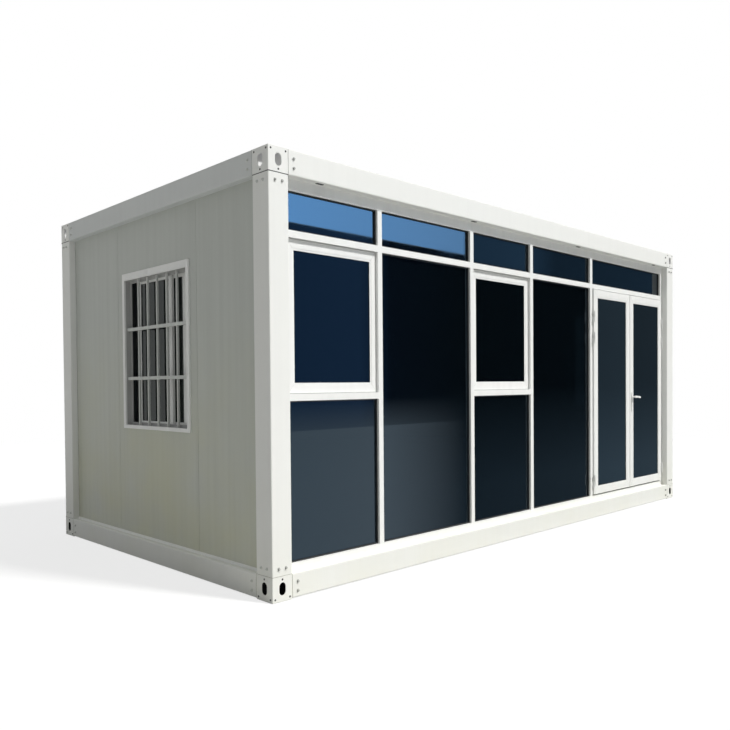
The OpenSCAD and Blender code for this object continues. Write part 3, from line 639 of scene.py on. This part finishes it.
def grow(name, points, attributes, built, values, body):
    """Runs a tree on points and keeps the result as a plain mesh that rides on a body."""
    tree, names = built
    mesh = bpy.data.meshes.new(name)
    mesh.from_pydata(points, [], [])
    for label, rows in attributes.items():
        if isinstance(rows[0], float):
            mesh.attributes.new(label, "FLOAT", "POINT").data.foreach_set("value", rows)
        else:
            layer = mesh.attributes.new(label, "FLOAT_VECTOR", "POINT")
            layer.data.foreach_set("vector", [c for row in rows for c in row])
    piece = linked(name, mesh)
    modifier = piece.modifiers.new("Build", "NODES")
    modifier.node_group = tree
    for label, value in values.items():
        modifier[names[label]] = value
    graph = bpy.context.evaluated_depsgraph_get()
    made = bpy.data.meshes.new_from_object(piece.evaluated_get(graph), depsgraph=graph)
    piece.modifiers.clear()
    piece.data = made
    bpy.data.meshes.remove(mesh)
    made.name = name
    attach(piece, body)
    return piece


def bolt_tree():
    """Tree that sets a washer and a head on each point, facing the point's own way."""
    tree, build, given, names = new_tree("Bolt heads", {
        "Head Radius": NUMBER, "Head Height": NUMBER, "Washer Radius": NUMBER, "Washer Height": NUMBER,
        "Sides": "NodeSocketInt", "Material": "NodeSocketMaterial"})
    radius, thick = given["Head Radius"], given["Washer Height"]
    body_height = build.times(given["Head Height"], 0.7)
    crown_height = build.times(given["Head Height"], 0.3)
    washer = build.out("GeometryNodeMeshCylinder", {
        "Vertices": 20, "Radius": given["Washer Radius"], "Depth": thick})
    head = build.out("GeometryNodeMeshCylinder", {
        "Vertices": given["Sides"], "Radius": radius, "Depth": body_height})
    crown = build.out("GeometryNodeMeshCone", {
        "Vertices": given["Sides"], "Radius Top": build.times(radius, 0.78), "Radius Bottom": radius,
        "Depth": crown_height})
    joined = build.node("GeometryNodeJoinGeometry")
    head_middle = build.math("ADD", thick, build.times(body_height, 0.5))
    head_top = build.math("ADD", thick, body_height)
    for mesh, height in ((washer, build.times(thick, 0.5)), (head, head_middle), (crown, head_top)):
        build.feed(joined, {0: build.out("GeometryNodeTransform", {
            "Geometry": mesh, "Translation": build.vector(z=height)})})
    turned = build.out("FunctionNodeAlignRotationToVector", {
        "Vector": build.stored("facing", "FLOAT_VECTOR")}, axis="Z")
    placed = build.out("GeometryNodeInstanceOnPoints", {
        "Points": given["Geometry"], "Instance": joined.outputs[0], "Rotation": turned})
    end_tree(build, placed, given["Material"])
    return tree, names


def set_bolts(name, places, head, height, washer, washer_height, sides, material, body):
    """Bolts or screws at places given as (point, way they face)."""
    points, ways = zip(*places)
    grow(name, points, {"facing": ways}, bolt_tree(), {
        "Head Radius": head, "Head Height": height, "Washer Radius": washer, "Washer Height": washer_height,
        "Sides": sides, "Material": material}, body)


def set_small_screws(name, places, steel, body):
    """Small round-headed screws of the door's plates."""
    small = bpy.context.scene.house_bolts.small_head
    set_bolts(name, places, head=small, height=1.2 * MM, washer=small * 1.15, washer_height=0.3 * MM,
              sides=12, material=steel, body=body)


def rib_tree():
    """Tree that lays a shallow rib of its own length on each point, along the wall's height."""
    tree, build, given, names = new_tree("Panel ribs", {
        "Foot": NUMBER, "Top": NUMBER, "Rise": NUMBER, "Material": "NodeSocketMaterial"})
    foot, rise = given["Foot"], given["Rise"]
    bar = build.out("GeometryNodeMeshCube", {"Size": build.vector(foot, 1.0, rise)})
    axes = build.axes(build.out("GeometryNodeInputPosition"))
    upper = build.out("FunctionNodeCompare", {"A": axes["Z"], "B": 0.0},
                      data_type="FLOAT", operation="GREATER_THAN")
    narrow = build.times(axes["X"], build.math("DIVIDE", given["Top"], foot))
    sloped = build.out("GeometryNodeSetPosition", {
        "Geometry": bar, "Selection": upper, "Position": build.vector(narrow, axes["Y"], axes["Z"])})
    raised = build.out("GeometryNodeTransform", {
        "Geometry": sloped, "Translation": build.vector(z=build.times(rise, 0.5))})
    turned = build.out("FunctionNodeAxesToRotation", {
        "Primary Axis": build.stored("facing", "FLOAT_VECTOR"), "Secondary Axis": (0, 0, 1)},
        primary_axis="Z", secondary_axis="Y")
    placed = build.out("GeometryNodeInstanceOnPoints", {
        "Points": given["Geometry"], "Instance": raised, "Rotation": turned,
        "Scale": build.vector(1.0, build.stored("run", "FLOAT"), 1.0)})
    end_tree(build, placed, given["Material"])
    return tree, names


class HOUSE_OT_frame_finish(bpy.types.Operator):
    """Paints the steel frame"""

    bl_idname = "house.frame_finish"
    bl_label = "Frame finish"

    def execute(self, context):
        dress(coat("Frame paint"), *POSTS, *BEAMS)
        # Insides of the top fittings are brighter as painted light, insides of the bottom ones near-black
        # as painted shade
        for node, inside in (("top_corner_fittings", "inside_painted_light"),
                             ("bottom_corner_fittings", "inside_painted_shade")):
            dress(fitting_paint(node, inside), node)
        # Greyer tone on the end top beams is painted shade
        dress(coat("End beam paint"), "left_top_beam", "right_top_beam")
        return {"FINISHED"}


class HOUSE_OT_shell_finish(bpy.types.Operator):
    """Finishes the walls, roof, ceiling and floor"""

    bl_idname = "house.shell_finish"
    bl_label = "Shell finish"

    def execute(self, context):
        dress(coat("Panel coating"), *WALLS)
        dress(coat("Roof coating"), "roof_sheet")
        dress(coat("Ceiling coating"), "ceiling_panels")
        dress(floor_covering(), "floor_board")
        dress(zinc("Galvanized steel", "galvanized", 0.42, 55.0), "roof_purlins", "floor_joists")
        return {"FINISHED"}


class HOUSE_OT_glazing_finish(bpy.types.Operator):
    """Finishes the profiles, glass, bars and door furniture"""

    bl_idname = "house.glazing_finish"
    bl_label = "Glazing finish"

    def execute(self, context):
        dress(coat("Profile powder coat"), "front_head_rail", "front_sill_rail", "front_jambs",
              "front_mullions", "front_transoms", "casement_middle_rails", "casement_sashes",
              "window_sashes", "left_door_leaf", "right_door_leaf", "frame_hinges", "left_door_hinges",
              "right_door_hinges", "lock_plates", "door_lever")
        dress(casing_coat_with_painted_shade(), "window_casings")
        dress(glass("Tinted glass", "tinted_glass", "glass_shine", specular=1.0, clear=0.6, ior=1.54),
              "transom_glass", "fixed_glass", "casement_glass", "left_door_glass", "right_door_glass")
        dress(glass("Window glass", "window_glass", "window_shine", specular=0.16, clear=0.9, ior=1.29),
              "window_glass")
        dress(coat("Bar paint"), "window_bars")
        return {"FINISHED"}


class HOUSE_OT_frame_bolts(bpy.types.Operator):
    """Bolts the posts and beams to the corner fittings"""

    bl_idname = "house.frame_bolts"
    bl_label = "Frame bolts"

    def execute(self, context):
        sizes = context.scene.house_bolts
        places = {"frame_bolts": [], "end_bolts": []}
        for is_post, side, (face, start, end), low_z, high_z in frame_faces():
            if is_post:
                middle = (start + end) / 2
                steps = (middle - sizes.post_apart / 2, middle + sizes.post_apart / 2)
                heights = (low_z + sizes.post_in, high_z - sizes.post_in)
            else:
                upper = high_z - sizes.beam_upper
                steps = (start + sizes.beam_in, end - sizes.beam_in)
                heights = (upper, upper - sizes.beam_apart)
            axis = SIDES[side][0]
            # Front and back bolts get the darker tone as painted shade, end bolts the paler one
            places["frame_bolts" if axis else "end_bolts"] += [
                (at(axis, face, along, z), facing(side)) for z in heights for along in steps]
        for name, spots in places.items():
            set_bolts(name, spots, sizes.head_radius, sizes.head_height, sizes.washer_radius,
                      sizes.washer_height, 6, coat("Paint of " + name), "house")
        return {"FINISHED"}


class HOUSE_OT_hole_caps(bpy.types.Operator):
    """Caps the fittings' small holes and plugs the slots in the long top beams' soffits with black rubber,
    as painted shade of the dark holes and slots
    """

    bl_idname = "house.hole_caps"
    bl_label = "Hole caps"

    def execute(self, context):
        sizes = context.scene.house_bolts
        places = []
        for node, to_post in (("top_corner_fittings", -1), ("bottom_corner_fittings", 1)):
            for box in solids(node):
                middle = (box[0] + box[1]) / 2
                reach = (box[1].x - box[0].x) / 2 - sizes.cap_in
                for side in corner_sides(box):
                    axis = SIDES[side][0]
                    for step, rise in ((0.0, to_post), (-reach, -to_post), (reach, -to_post)):
                        spot = at(axis, outer(box, side), middle[1 - axis] + step, middle.z + rise * reach)
                        places.append((spot, facing(side)))
        # Black caps stand in for the shade inside the small holes
        set_bolts("hole_caps", places, head=sizes.cap_radius * 0.7, height=0.4 * MM,
                  washer=sizes.cap_radius, washer_height=0.4 * MM, sides=12, material=rubber(),
                  body="house")
        # Black plugs stand in for the shade inside the soffit slots
        bm = bmesh.new()
        for side in ("front", "back"):
            low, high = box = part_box(side + "_top_beam")
            y = outer(box, side) - SIDES[side][1] * SLOT_SET
            pitch = (high.x - low.x - 2 * SLOT_IN) / (SLOT_COUNT - 1)
            for i in range(SLOT_COUNT):
                add_plug(bm, Vector((low.x + SLOT_IN + i * pitch, y, low.z)))
        settle("soffit_plugs", bm, rubber(), "house")
        return {"FINISHED"}


def add_plug(bm, middle):
    """Flat plug with round ends under a soffit, lying along the beam."""
    half = PLUG_WIDE / 2
    reach = PLUG_LONG / 2 - half
    turns = [math.pi * (i / 10 - 0.5) for i in range(11)]
    outline = [(reach + half * math.cos(t), half * math.sin(t)) for t in turns]
    outline += [(-x, -y) for x, y in outline]
    add_loft(bm, [[middle + Vector((x, y, z)) for x, y in outline] for z in (0.0, -PLUG_THICK)])


class HOUSE_OT_joint_seals(bpy.types.Operator):
    """Lays thin strips in the joints between the fittings, posts and beams, black at the posts' heads and
    else grey, as painted shade of the open joints
    """

    bl_idname = "house.joint_seals"
    bl_label = "Joint seals"

    def execute(self, context):
        sizes = context.scene.house_glazing
        proud, wide = sizes.seal_proud, sizes.seal_width
        black, grey = bmesh.new(), bmesh.new()
        # Dark strips stand in for the shade of the open joints
        for is_post, side, (face, start, end), low_z, high_z in frame_faces():
            if is_post:
                for seal, z, tall in ((grey, low_z, sizes.foot_seal), (black, high_z, sizes.seal_height)):
                    add_strip(seal, side, face, proud, start, end, z - tall / 2, z + tall / 2)
            else:
                for edge in (start, end - wide):
                    add_strip(grey, side, face, proud, edge, edge + wide, low_z + wide, high_z - wide)
        settle("post_joint_seals", black, rubber(), "house")
        settle("beam_joint_seals", grey, coat("Beam seal"), "house")
        return {"FINISHED"}


class HOUSE_OT_panel_ribs(bpy.types.Operator):
    """Lays the shallow ribs on the wall panels' outer faces"""

    bl_idname = "house.panel_ribs"
    bl_label = "Panel ribs"

    def execute(self, context):
        sizes = context.scene.house_panels
        gap = sizes.rib_end
        reach = sizes.rib_foot / 2 + gap
        casing_low, casing_high = solids("window_casings")[0]
        points, runs, ways = [], [], []
        for node, side in WALLS.items():
            axis = SIDES[side][0]
            for low, high in solids(node):
                face, start, end = span((low, high), side)
                count = max(1, int((end - start) / sizes.rib_pitch))
                bottom, top = low.z + sizes.foot_height + gap, high.z - gap
                for i in range(count):
                    along = start + (i + 0.5) * (end - start) / count
                    spans = [(bottom, top)]
                    if "window" in node and casing_low.y - reach < along < casing_high.y + reach:
                        spans = [(bottom, casing_low.z - gap), (casing_high.z + gap, top)]
                    for foot, head in spans:
                        points.append(at(axis, face, along, (foot + head) / 2))
                        runs.append(head - foot)
                        ways.append(facing(side))
        grow("panel_ribs", points, {"facing": ways, "run": runs}, rib_tree(), {
            "Foot": sizes.rib_foot, "Top": sizes.rib_top, "Rise": sizes.rib_rise,
            "Material": coat("Panel coating")}, "house")
        return {"FINISHED"}


class HOUSE_OT_foot_trims(bpy.types.Operator):
    """Lays a sloped trim along the foot of each panel wall"""

    bl_idname = "house.foot_trims"
    bl_label = "Foot trims"

    def execute(self, context):
        sizes = context.scene.house_panels
        outline = ((0.0, 0.0), (sizes.foot_depth, 0.0), (sizes.foot_depth, sizes.foot_face),
                   (0.0, sizes.foot_height))
        bm = bmesh.new()
        for node in ("left_plain_panels", "right_plain_panels", "back_wall_panels"):
            axis, sign = SIDES[WALLS[node]]
            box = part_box(node)
            face, *ends = span(box, WALLS[node])
            add_loft(bm, [[at(axis, face + sign * out, end, box[0].z + up) for out, up in outline]
                          for end in ends])
        settle("wall_foot_trims", bm, coat("Profile powder coat"), "house")
        return {"FINISHED"}


class HOUSE_OT_gaskets(bpy.types.Operator):
    """Puts the black rubber round every pane"""

    bl_idname = "house.gaskets"
    bl_label = "Gaskets"

    def execute(self, context):
        sizes = context.scene.house_glazing
        lining_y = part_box("front_mullions")[0].y + sizes.lining_set
        gasket = (sizes.gasket_face, sizes.gasket_depth)
        for name, nodes, body, axis, (face, depth) in (
                ("fixed_pane_linings", ("transom_glass", "fixed_glass"), "house", 1,
                 (sizes.lining_face, None)),
                ("casement_gaskets", ("casement_glass",), "house", 1, gasket),
                ("left_door_gasket", ("left_door_glass",), "left_door", 1, gasket),
                ("right_door_gasket", ("right_door_glass",), "right_door", 1, gasket),
                ("window_gaskets", ("window_glass",), "house", 0, (sizes.window_face, sizes.inner_depth))):
            bm = bmesh.new()
            for low, high in [box for node in nodes for box in solids(node)]:
                light = pane_light(axis, low, high, sizes.glass_bite)
                inside = shrunk(light, face)
                near = lining_y if depth is None else low[axis] - depth
                add_ring(bm, axis, light, inside, near, low[axis])
                add_ring(bm, axis, light, inside, high[axis], high[axis] + sizes.inner_depth)
            settle(name, bm, rubber(), body)
        return {"FINISHED"}


class HOUSE_OT_track_liners(bpy.types.Operator):
    """Lines the end windows' sliding tracks with black rubber as painted shade, and lays a grey strip at
    the casements' feet as painted shade of the gap under them
    """

    bl_idname = "house.track_liners"
    bl_label = "Track liners"

    def execute(self, context):
        sashes = solids("window_sashes")
        bm = bmesh.new()
        # Black liners stand in for the shade inside the tracks
        for low, high in solids("window_bars"):
            end = [box for box in sashes if box[0].x * low.x > 0]
            near, first = (min(box[0][i] for box in end) - SHADE_LINER for i in (0, 1))
            far, last = (max(box[1][i] for box in end) + SHADE_LINER for i in (0, 1))
            left, right = low.y + SHADE_LINER, high.y - SHADE_LINER
            for start, stop, foot, head in (
                    (low.y, left, low.z, high.z), (right, high.y, low.z, high.z),
                    (left, right, high.z - SHADE_LINER, high.z),
                    (left, first, low.z, low.z + SHADE_LINER), (last, right, low.z, low.z + SHADE_LINER)):
                add_box(bm, (near, start, foot), (far, stop, head))
        settle("window_track_liners", bm, rubber(), "house")
        # A grey strip at each casement's foot stands in for the shadow of the gap under the sash
        bm = bmesh.new()
        for low, high in solids("casement_sashes"):
            add_strip(bm, "front", low.y, CASEMENT_SEAL_PROUD, low.x, high.x,
                      low.z, low.z + CASEMENT_SEAL_TALL)
        settle("casement_foot_seals", bm, coat("Beam seal"), "house")
        return {"FINISHED"}


class HOUSE_OT_mitres(bpy.types.Operator):
    """Marks the mitred joints of the casements and door leaves"""

    bl_idname = "house.mitres"
    bl_label = "Mitres"

    def execute(self, context):
        sizes = context.scene.house_glazing
        for name, frames, panes, body in (
                ("casement_mitres", "casement_sashes", "casement_glass", "house"),
                ("left_door_mitres", "left_door_leaf", "left_door_glass", "left_door"),
                ("right_door_mitres", "right_door_leaf", "right_door_glass", "right_door")):
            bm = bmesh.new()
            for (low, high), pane in zip(solids(frames), solids(panes)):
                light = pane_light(1, *pane, sizes.glass_bite - BEAD)
                for sx, sz in ((0, 0), (0, 1), (1, 0), (1, 1)):
                    inside = Vector((light[sx], 0, light[2 + sz]))
                    corner = Vector(((low.x, high.x)[sx], 0, (low.z, high.z)[sz]))
                    corner = corner.lerp(inside, MITRE_START)
                    side = (inside - corner).normalized().cross(Vector((0, 1, 0))) * sizes.mitre_width / 2
                    line = (corner - side, corner + side, inside + side, inside - side)
                    for y, out in ((low.y, -MITRE_PROUD), (high.y, MITRE_PROUD)):
                        add_loft(bm, [[p + Vector((0, depth, 0)) for p in line] for depth in (y, y + out)])
            settle(name, bm, coat("Mitre joint"), body)
        return {"FINISHED"}


class HOUSE_OT_door_lever(bpy.types.Operator):
    """Shapes the door lever, with a neck and a grip on each side of the leaf"""

    bl_idname = "house.door_lever"
    bl_label = "Door lever"

    def execute(self, context):
        low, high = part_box("door_lever")
        leaf_low, leaf_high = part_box("right_door_leaf")
        half = (high.z - low.z) / 2
        pivot = Vector((low.x + half, 0, low.z + half))
        reach = high.x - low.x - half
        bm = bmesh.new()
        for end, wall, way in ((low.y, leaf_low.y - LOCK_PLATE, -1), (high.y, leaf_high.y + LOCK_PLATE, 1)):
            middle = end - way * GRIP_HALF
            neck = []
            for along, radius in NECK:
                y = wall + way * NECK_GAP + (middle - wall) * along
                neck.append([pivot + Vector((radius * math.cos(t), y, radius * math.sin(t)))
                             for t in LEVER_TURNS])
            add_loft(bm, neck)
            grip = []
            for along, tall, deep in GRIP:
                centre = pivot + Vector((along * reach, middle, -GRIP_DROOP * max(0.0, along) ** 2.2))
                grip.append([centre + Vector((0, GRIP_HALF * deep * squared(math.cos(t)),
                                              half * tall * squared(math.sin(t)))) for t in LEVER_TURNS])
            add_loft(bm, grip)
        lever = settle("shaped_lever", bm, coat("Lever coat"), "lever", smooth=True)
        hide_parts("door_lever")
        return {"FINISHED"}


def squared(value):
    """A sine or cosine pushed out, so that a round section gets flatter sides."""
    return math.copysign(abs(value) ** 0.7, value)


class HOUSE_OT_door_furniture(bpy.types.Operator):
    """Adds the screws of hinges and lock plates, the hinge caps, and a black strip as painted shade of the
    keyhole
    """

    bl_idname = "house.door_furniture"
    bl_label = "Door furniture"

    def execute(self, context):
        steel = zinc("Screw zinc", "screw", 0.35, 500.0)
        for body, inward in (("left_door", 1), ("right_door", -1)):
            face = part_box(body + "_leaf")[0].y - HINGE_PLATE
            screws, caps = [], []
            for low, high in solids(body + "_hinges"):
                pin, edge = (low.x, high.x) if inward > 0 else (high.x, low.x)
                screws += [((edge - inward * HINGE_SCREW_IN, face, z), (0, -1, 0))
                           for z in (low.z + HINGE_SCREW_IN, high.z - HINGE_SCREW_IN)]
                caps.append(((pin + inward * KNUCKLE, low.y + KNUCKLE, high.z), (0, 0, 1)))
            set_small_screws(body + "_hinge_screws", screws, steel, body)
            set_bolts(body + "_hinge_caps", caps, head=5 * MM, height=2.5 * MM, washer=KNUCKLE,
                      washer_height=1.2 * MM, sides=16, material=coat("Profile powder coat"), body=body)
        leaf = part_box("right_door_leaf")
        screws = []
        keyholes = bmesh.new()
        plates = sorted(solids("lock_plates"), key=lambda b: b[0].y)
        for side, (low, high) in zip(("front", "back"), plates):
            way = SIDES[side][1]
            x = (low.x + high.x) / 2
            face = outer(leaf, side) + way * LOCK_PLATE
            screws += [((x, face, z), facing(side))
                       for z in (low.z + LOCK_SCREW_LOW, high.z - LOCK_SCREW_HIGH)]
            # A black strip stands in for the shade in the keyhole
            z = low.z + KEYHOLE_RISE
            add_strip(keyholes, side, outer((low, high), side), KEYHOLE_PROUD, x - KEYHOLE_WIDE / 2,
                      x + KEYHOLE_WIDE / 2, z - KEYHOLE_TALL / 2, z + KEYHOLE_TALL / 2)
        set_small_screws("lock_plate_screws", screws, steel, "right_door")
        settle("keyholes", keyholes, rubber(), "right_door")
        return {"FINISHED"}


class HOUSE_OT_roof_screws(bpy.types.Operator):
    """Screws the roof sheet's ribs down on the purlins"""

    bl_idname = "house.roof_screws"
    bl_label = "Roof screws"

    def execute(self, context):
        sizes = context.scene.house_bolts
        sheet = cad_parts["roof_sheet"].data
        crest = max(v.co.z for v in sheet.vertices)
        edges = sorted({round(v.co.y, 4) for v in sheet.vertices if v.co.z > crest - 0.1 * MM})
        ribs = [(a + b) / 2 for a, b in zip(edges[::2], edges[1::2])]
        rows = [(low.x + high.x) / 2 for low, high in solids("roof_purlins")]
        places = [((x, y, crest), (0, 0, 1)) for x in rows for y in ribs]
        steel = zinc("Roof screw zinc", "galvanized", 0.4, 500.0)
        set_bolts("roof_screws", places, head=sizes.roof_head, height=4 * MM, washer=sizes.roof_washer,
                  washer_height=1.5 * MM, sides=6, material=steel, body="house")
        return {"FINISHED"}


def emptied(block):
    """Node builder of a material or world whose own nodes are cleared away."""
    block.use_nodes = True
    block.node_tree.nodes.clear()
    return Build(block.node_tree)


def seen_by_eye(build):
    """One for the rays of the eye, of mirrors and of glass, and none for the rays that light things."""
    path = build.node("ShaderNodeLightPath").outputs
    return build.math("MAXIMUM", path["Is Camera Ray"],
                      build.math("MAXIMUM", path["Is Glossy Ray"], path["Is Transmission Ray"]))


def stage_sheet(name, points, faces, material):
    """Flat sheet that belongs to the stage."""
    mesh = bpy.data.meshes.new(name)
    mesh.from_pydata(points, [], faces)
    mesh.materials.append(material)
    sheet = linked(name, mesh)
    sheet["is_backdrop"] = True
    return sheet


def studio_floor(light):
    """Pale floor that keeps the house's shadow near it and runs out to plain white."""
    material = bpy.data.materials.new("Studio floor")
    build = emptied(material)
    far = build.out("ShaderNodeVectorMath", {0: build.where()}, "Value", operation="LENGTH")
    glow = build.out("ShaderNodeEmission", {"Color": (1, 1, 1, 1), "Strength": 1.0})
    plain = build.out("ShaderNodeBsdfDiffuse", {"Color": (0.47, 0.47, 0.45, 1)})
    pale = build.out("ShaderNodeBsdfDiffuse", {"Color": (0.95, 0.95, 0.95, 1)})
    shown = build.mixed(build.ranged(far, *FLOOR_FADE, 1 - light.shadow, 1.0), pale, glow)
    build.node("ShaderNodeOutputMaterial", {"Surface": build.mixed(seen_by_eye(build), plain, shown)})
    half = FLOOR_HALF
    stage_sheet("studio_floor", [(-half, -half, 0), (half, -half, 0), (half, half, 0), (-half, half, 0)],
                [(0, 1, 2, 3)], material)


def mirror_card(name, shade, x, y, z, foot=()):
    """Card in front of the house that shows in its panes alone and lights nothing.

    Its shade gives colour, strength and cover from the place on the card."""
    material = bpy.data.materials.new(name)
    build = emptied(material)
    paint, glow, cover = shade(build, build.axes(build.where()))
    clear = build.out("ShaderNodeBsdfTransparent")
    light = build.out("ShaderNodeEmission", {"Color": paint, "Strength": glow})
    build.node("ShaderNodeOutputMaterial", {"Surface": build.mixed(cover, clear, light)})
    upright = [(x[0], y, z[0]), (x[1], y, z[0]), (x[1], y, z[1]), (x[0], y, z[1])]
    faces = [(0, 1, 2, 3)] + [(0, 1, 4, 5)] * bool(foot)
    card = stage_sheet(name, upright + list(foot), faces, material)
    card.visible_camera = card.visible_diffuse = card.visible_shadow = False
    card.visible_transmission = card.visible_volume_scatter = False


def far_shade(build, axes):
    """Dark blue, darker to the right, that pales towards the ground."""
    right = build.ranged(axes["X"], 10.8, 12.2, 0.0, 1.0)
    dark = build.blended(right, (0.11, 0.23, 0.44, 1), (0.006, 0.014, 0.035, 1))
    ground = build.ranged(axes["Z"], 0.0, 0.9, 0.6, 0.0)
    return build.blended(ground, dark, (0.9, 0.9, 0.9, 1)), 1.0, 1.0


def near_shade(build, axes):
    """Dim tones for the lower panes, the doors and the top panes at the right."""
    x = axes["X"]
    above = build.ranged(axes["Z"], *TRANSOM_FADE, 0.0, 1.0)
    under = build.ranged(axes["Z"], *TRANSOM_FADE, 1.0, 0.0)
    low = build.ranged(axes["Z"], 0.2, 1.3, 0.16, 0.0)
    top = build.times(above, build.ranged(x, 1.9, 2.6, 0.42, 0.16))
    leaves = build.times(build.ranged(x, 3.4, 3.55, 0.0, 1.0), build.ranged(x, 4.4, 4.7, 0.2, 0.13))
    paint = build.blended(above, (0.58, 0.82, 1.0, 1), (0.3, 0.62, 1.0, 1))
    slant = build.math("DIVIDE", build.math("SUBTRACT", x, FAN_X), build.math("SUBTRACT", FAN_Y, axes["Y"]))
    cover = build.math("ADD", build.times(under, build.ranged(slant, 1.1, 1.37, 0.0, 1.0)),
                       build.times(above, build.ranged(slant, 1.36, 1.38, 0.0, 1.0)))
    glow = build.math("ADD", low, build.math("ADD", top, build.times(under, leaves)))
    return paint, glow, cover


def sky_shade(build, axes):
    """Blue that dims to the right, for the top panes at the left."""
    sky = bpy.context.scene.house_stage.sky
    return (0.34, 0.63, 1.0, 1), build.ranged(axes["X"], 6.0, 17.0, sky * 1.36, sky * 0.64), 1.0


def studio_world(light):
    """White surroundings to the eye, and a soft dimmer light on the house, most of it from above."""
    world = bpy.data.worlds.new("Studio")
    bpy.context.scene.world = world
    build = emptied(world)
    rise = build.axes(build.out("ShaderNodeTexCoord", socket="Generated"))["Z"]
    level = build.ranged(rise, 0.0, 1.0, light.ambient, light.overhead)
    even = build.out("ShaderNodeBackground", {"Color": (0.97, 0.99, 1, 1), "Strength": level})
    white = build.out("ShaderNodeBackground", {"Color": (1, 1, 1, 1), "Strength": 1.0})
    build.node("ShaderNodeOutputWorld", {"Surface": build.mixed(seen_by_eye(build), even, white)})


class HOUSE_OT_stage(bpy.types.Operator):
    """Sets the floor, surroundings, lights and camera"""

    bl_idname = "house.stage"
    bl_label = "Stage"

    def execute(self, context):
        scene = context.scene
        light = scene.house_stage
        scene.view_settings.view_transform = "Standard"
        studio_floor(light)
        studio_world(light)
        mirror_card("far_card", far_shade, x=(-20.0, 20.0), y=CARD_Y, z=(0.0, 6.03))
        mirror_card("near_card", near_shade, x=(-0.6, 9.0), y=NEAR_CARD_Y, z=(NEAR_FOOT, 3.2),
                    foot=((9.0, -1.6, NEAR_FOOT), (-1.7, -1.6, NEAR_FOOT)))
        mirror_card("sky_card", sky_shade, x=(6.0, 16.6), y=CARD_Y, z=(6.05, 8.2))

        key = bpy.data.lights.new("Key", "SUN")
        key.energy = light.key
        key.angle = KEY_WIDTH
        key.color = (1.0, 0.99, 0.97)
        lamp = linked("Key", key)
        lamp.location = KEY_PLACE
        beam = Vector(KEY_TARGET) - Vector(KEY_PLACE)
        lamp.rotation_euler = beam.to_track_quat("-Z", "Y").to_euler()

        camera = bpy.data.cameras.new("Camera")
        camera.lens = CAMERA_LENS
        camera.sensor_width = CAMERA_SENSOR
        camera.shift_x, camera.shift_y = CAMERA_SHIFT
        camera.clip_end = 300
        eye = linked("Camera", camera)
        turn = Matrix(CAMERA_AXES).transposed()
        eye.matrix_world = Matrix.Translation(CAMERA_PLACE) @ turn.to_4x4()
        scene.camera = eye
        return {"FINISHED"}


STEPS = (
    HOUSE_OT_frame_finish, HOUSE_OT_shell_finish, HOUSE_OT_glazing_finish, HOUSE_OT_frame_bolts,
    HOUSE_OT_hole_caps, HOUSE_OT_joint_seals, HOUSE_OT_panel_ribs, HOUSE_OT_foot_trims, HOUSE_OT_gaskets,
    HOUSE_OT_track_liners, HOUSE_OT_mitres, HOUSE_OT_door_lever, HOUSE_OT_door_furniture,
    HOUSE_OT_roof_screws, HOUSE_OT_stage)


class HOUSE_PT_sidebar(bpy.types.Panel):
    """Lists the steps that dress the house"""

    bl_idname = "HOUSE_PT_sidebar"
    bl_label = "Container House"
    bl_space_type = "VIEW_3D"
    bl_region_type = "UI"
    bl_category = "House"

    def draw(self, context):
        for step in STEPS:
            self.layout.operator(step.bl_idname)
        for group in GROUPS:
            box = self.layout.box()
            settings = getattr(context.scene, group)
            for name in settings.__annotations__:
                box.prop(settings, name)


GROUPS = {
    "house_colours": HouseColours, "house_bolts": BoltSizes, "house_panels": PanelSizes,
    "house_glazing": GlazingSizes, "house_stage": StageLight}


def register():
    for cls in (*GROUPS.values(), *STEPS, HOUSE_PT_sidebar):
        bpy.utils.register_class(cls)
    for name, group in GROUPS.items():
        setattr(bpy.types.Scene, name, bpy.props.PointerProperty(type=group))


def unregister():
    for name in GROUPS:
        delattr(bpy.types.Scene, name)
    for cls in reversed((*GROUPS.values(), *STEPS, HOUSE_PT_sidebar)):
        bpy.utils.unregister_class(cls)


def main():
    """Dresses the house and works out its size before and after."""
    register()
    bpy.ops.house.frame_finish()
    bpy.ops.house.shell_finish()
    bpy.ops.house.glazing_finish()
    bpy.ops.house.frame_bolts()
    bpy.ops.house.hole_caps()
    bpy.ops.house.joint_seals()
    bpy.ops.house.panel_ribs()
    bpy.ops.house.foot_trims()
    bpy.ops.house.gaskets()
    bpy.ops.house.track_liners()
    bpy.ops.house.mitres()
    bpy.ops.house.door_lever()
    bpy.ops.house.door_furniture()
    bpy.ops.house.roof_screws()
    bpy.ops.house.stage()
    boxes = {"cad": CAD_BOX, "visual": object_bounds()}
    {name: [list(corner) for corner in box] for name, box in boxes.items()}


if __name__ == "__main__":
    main()
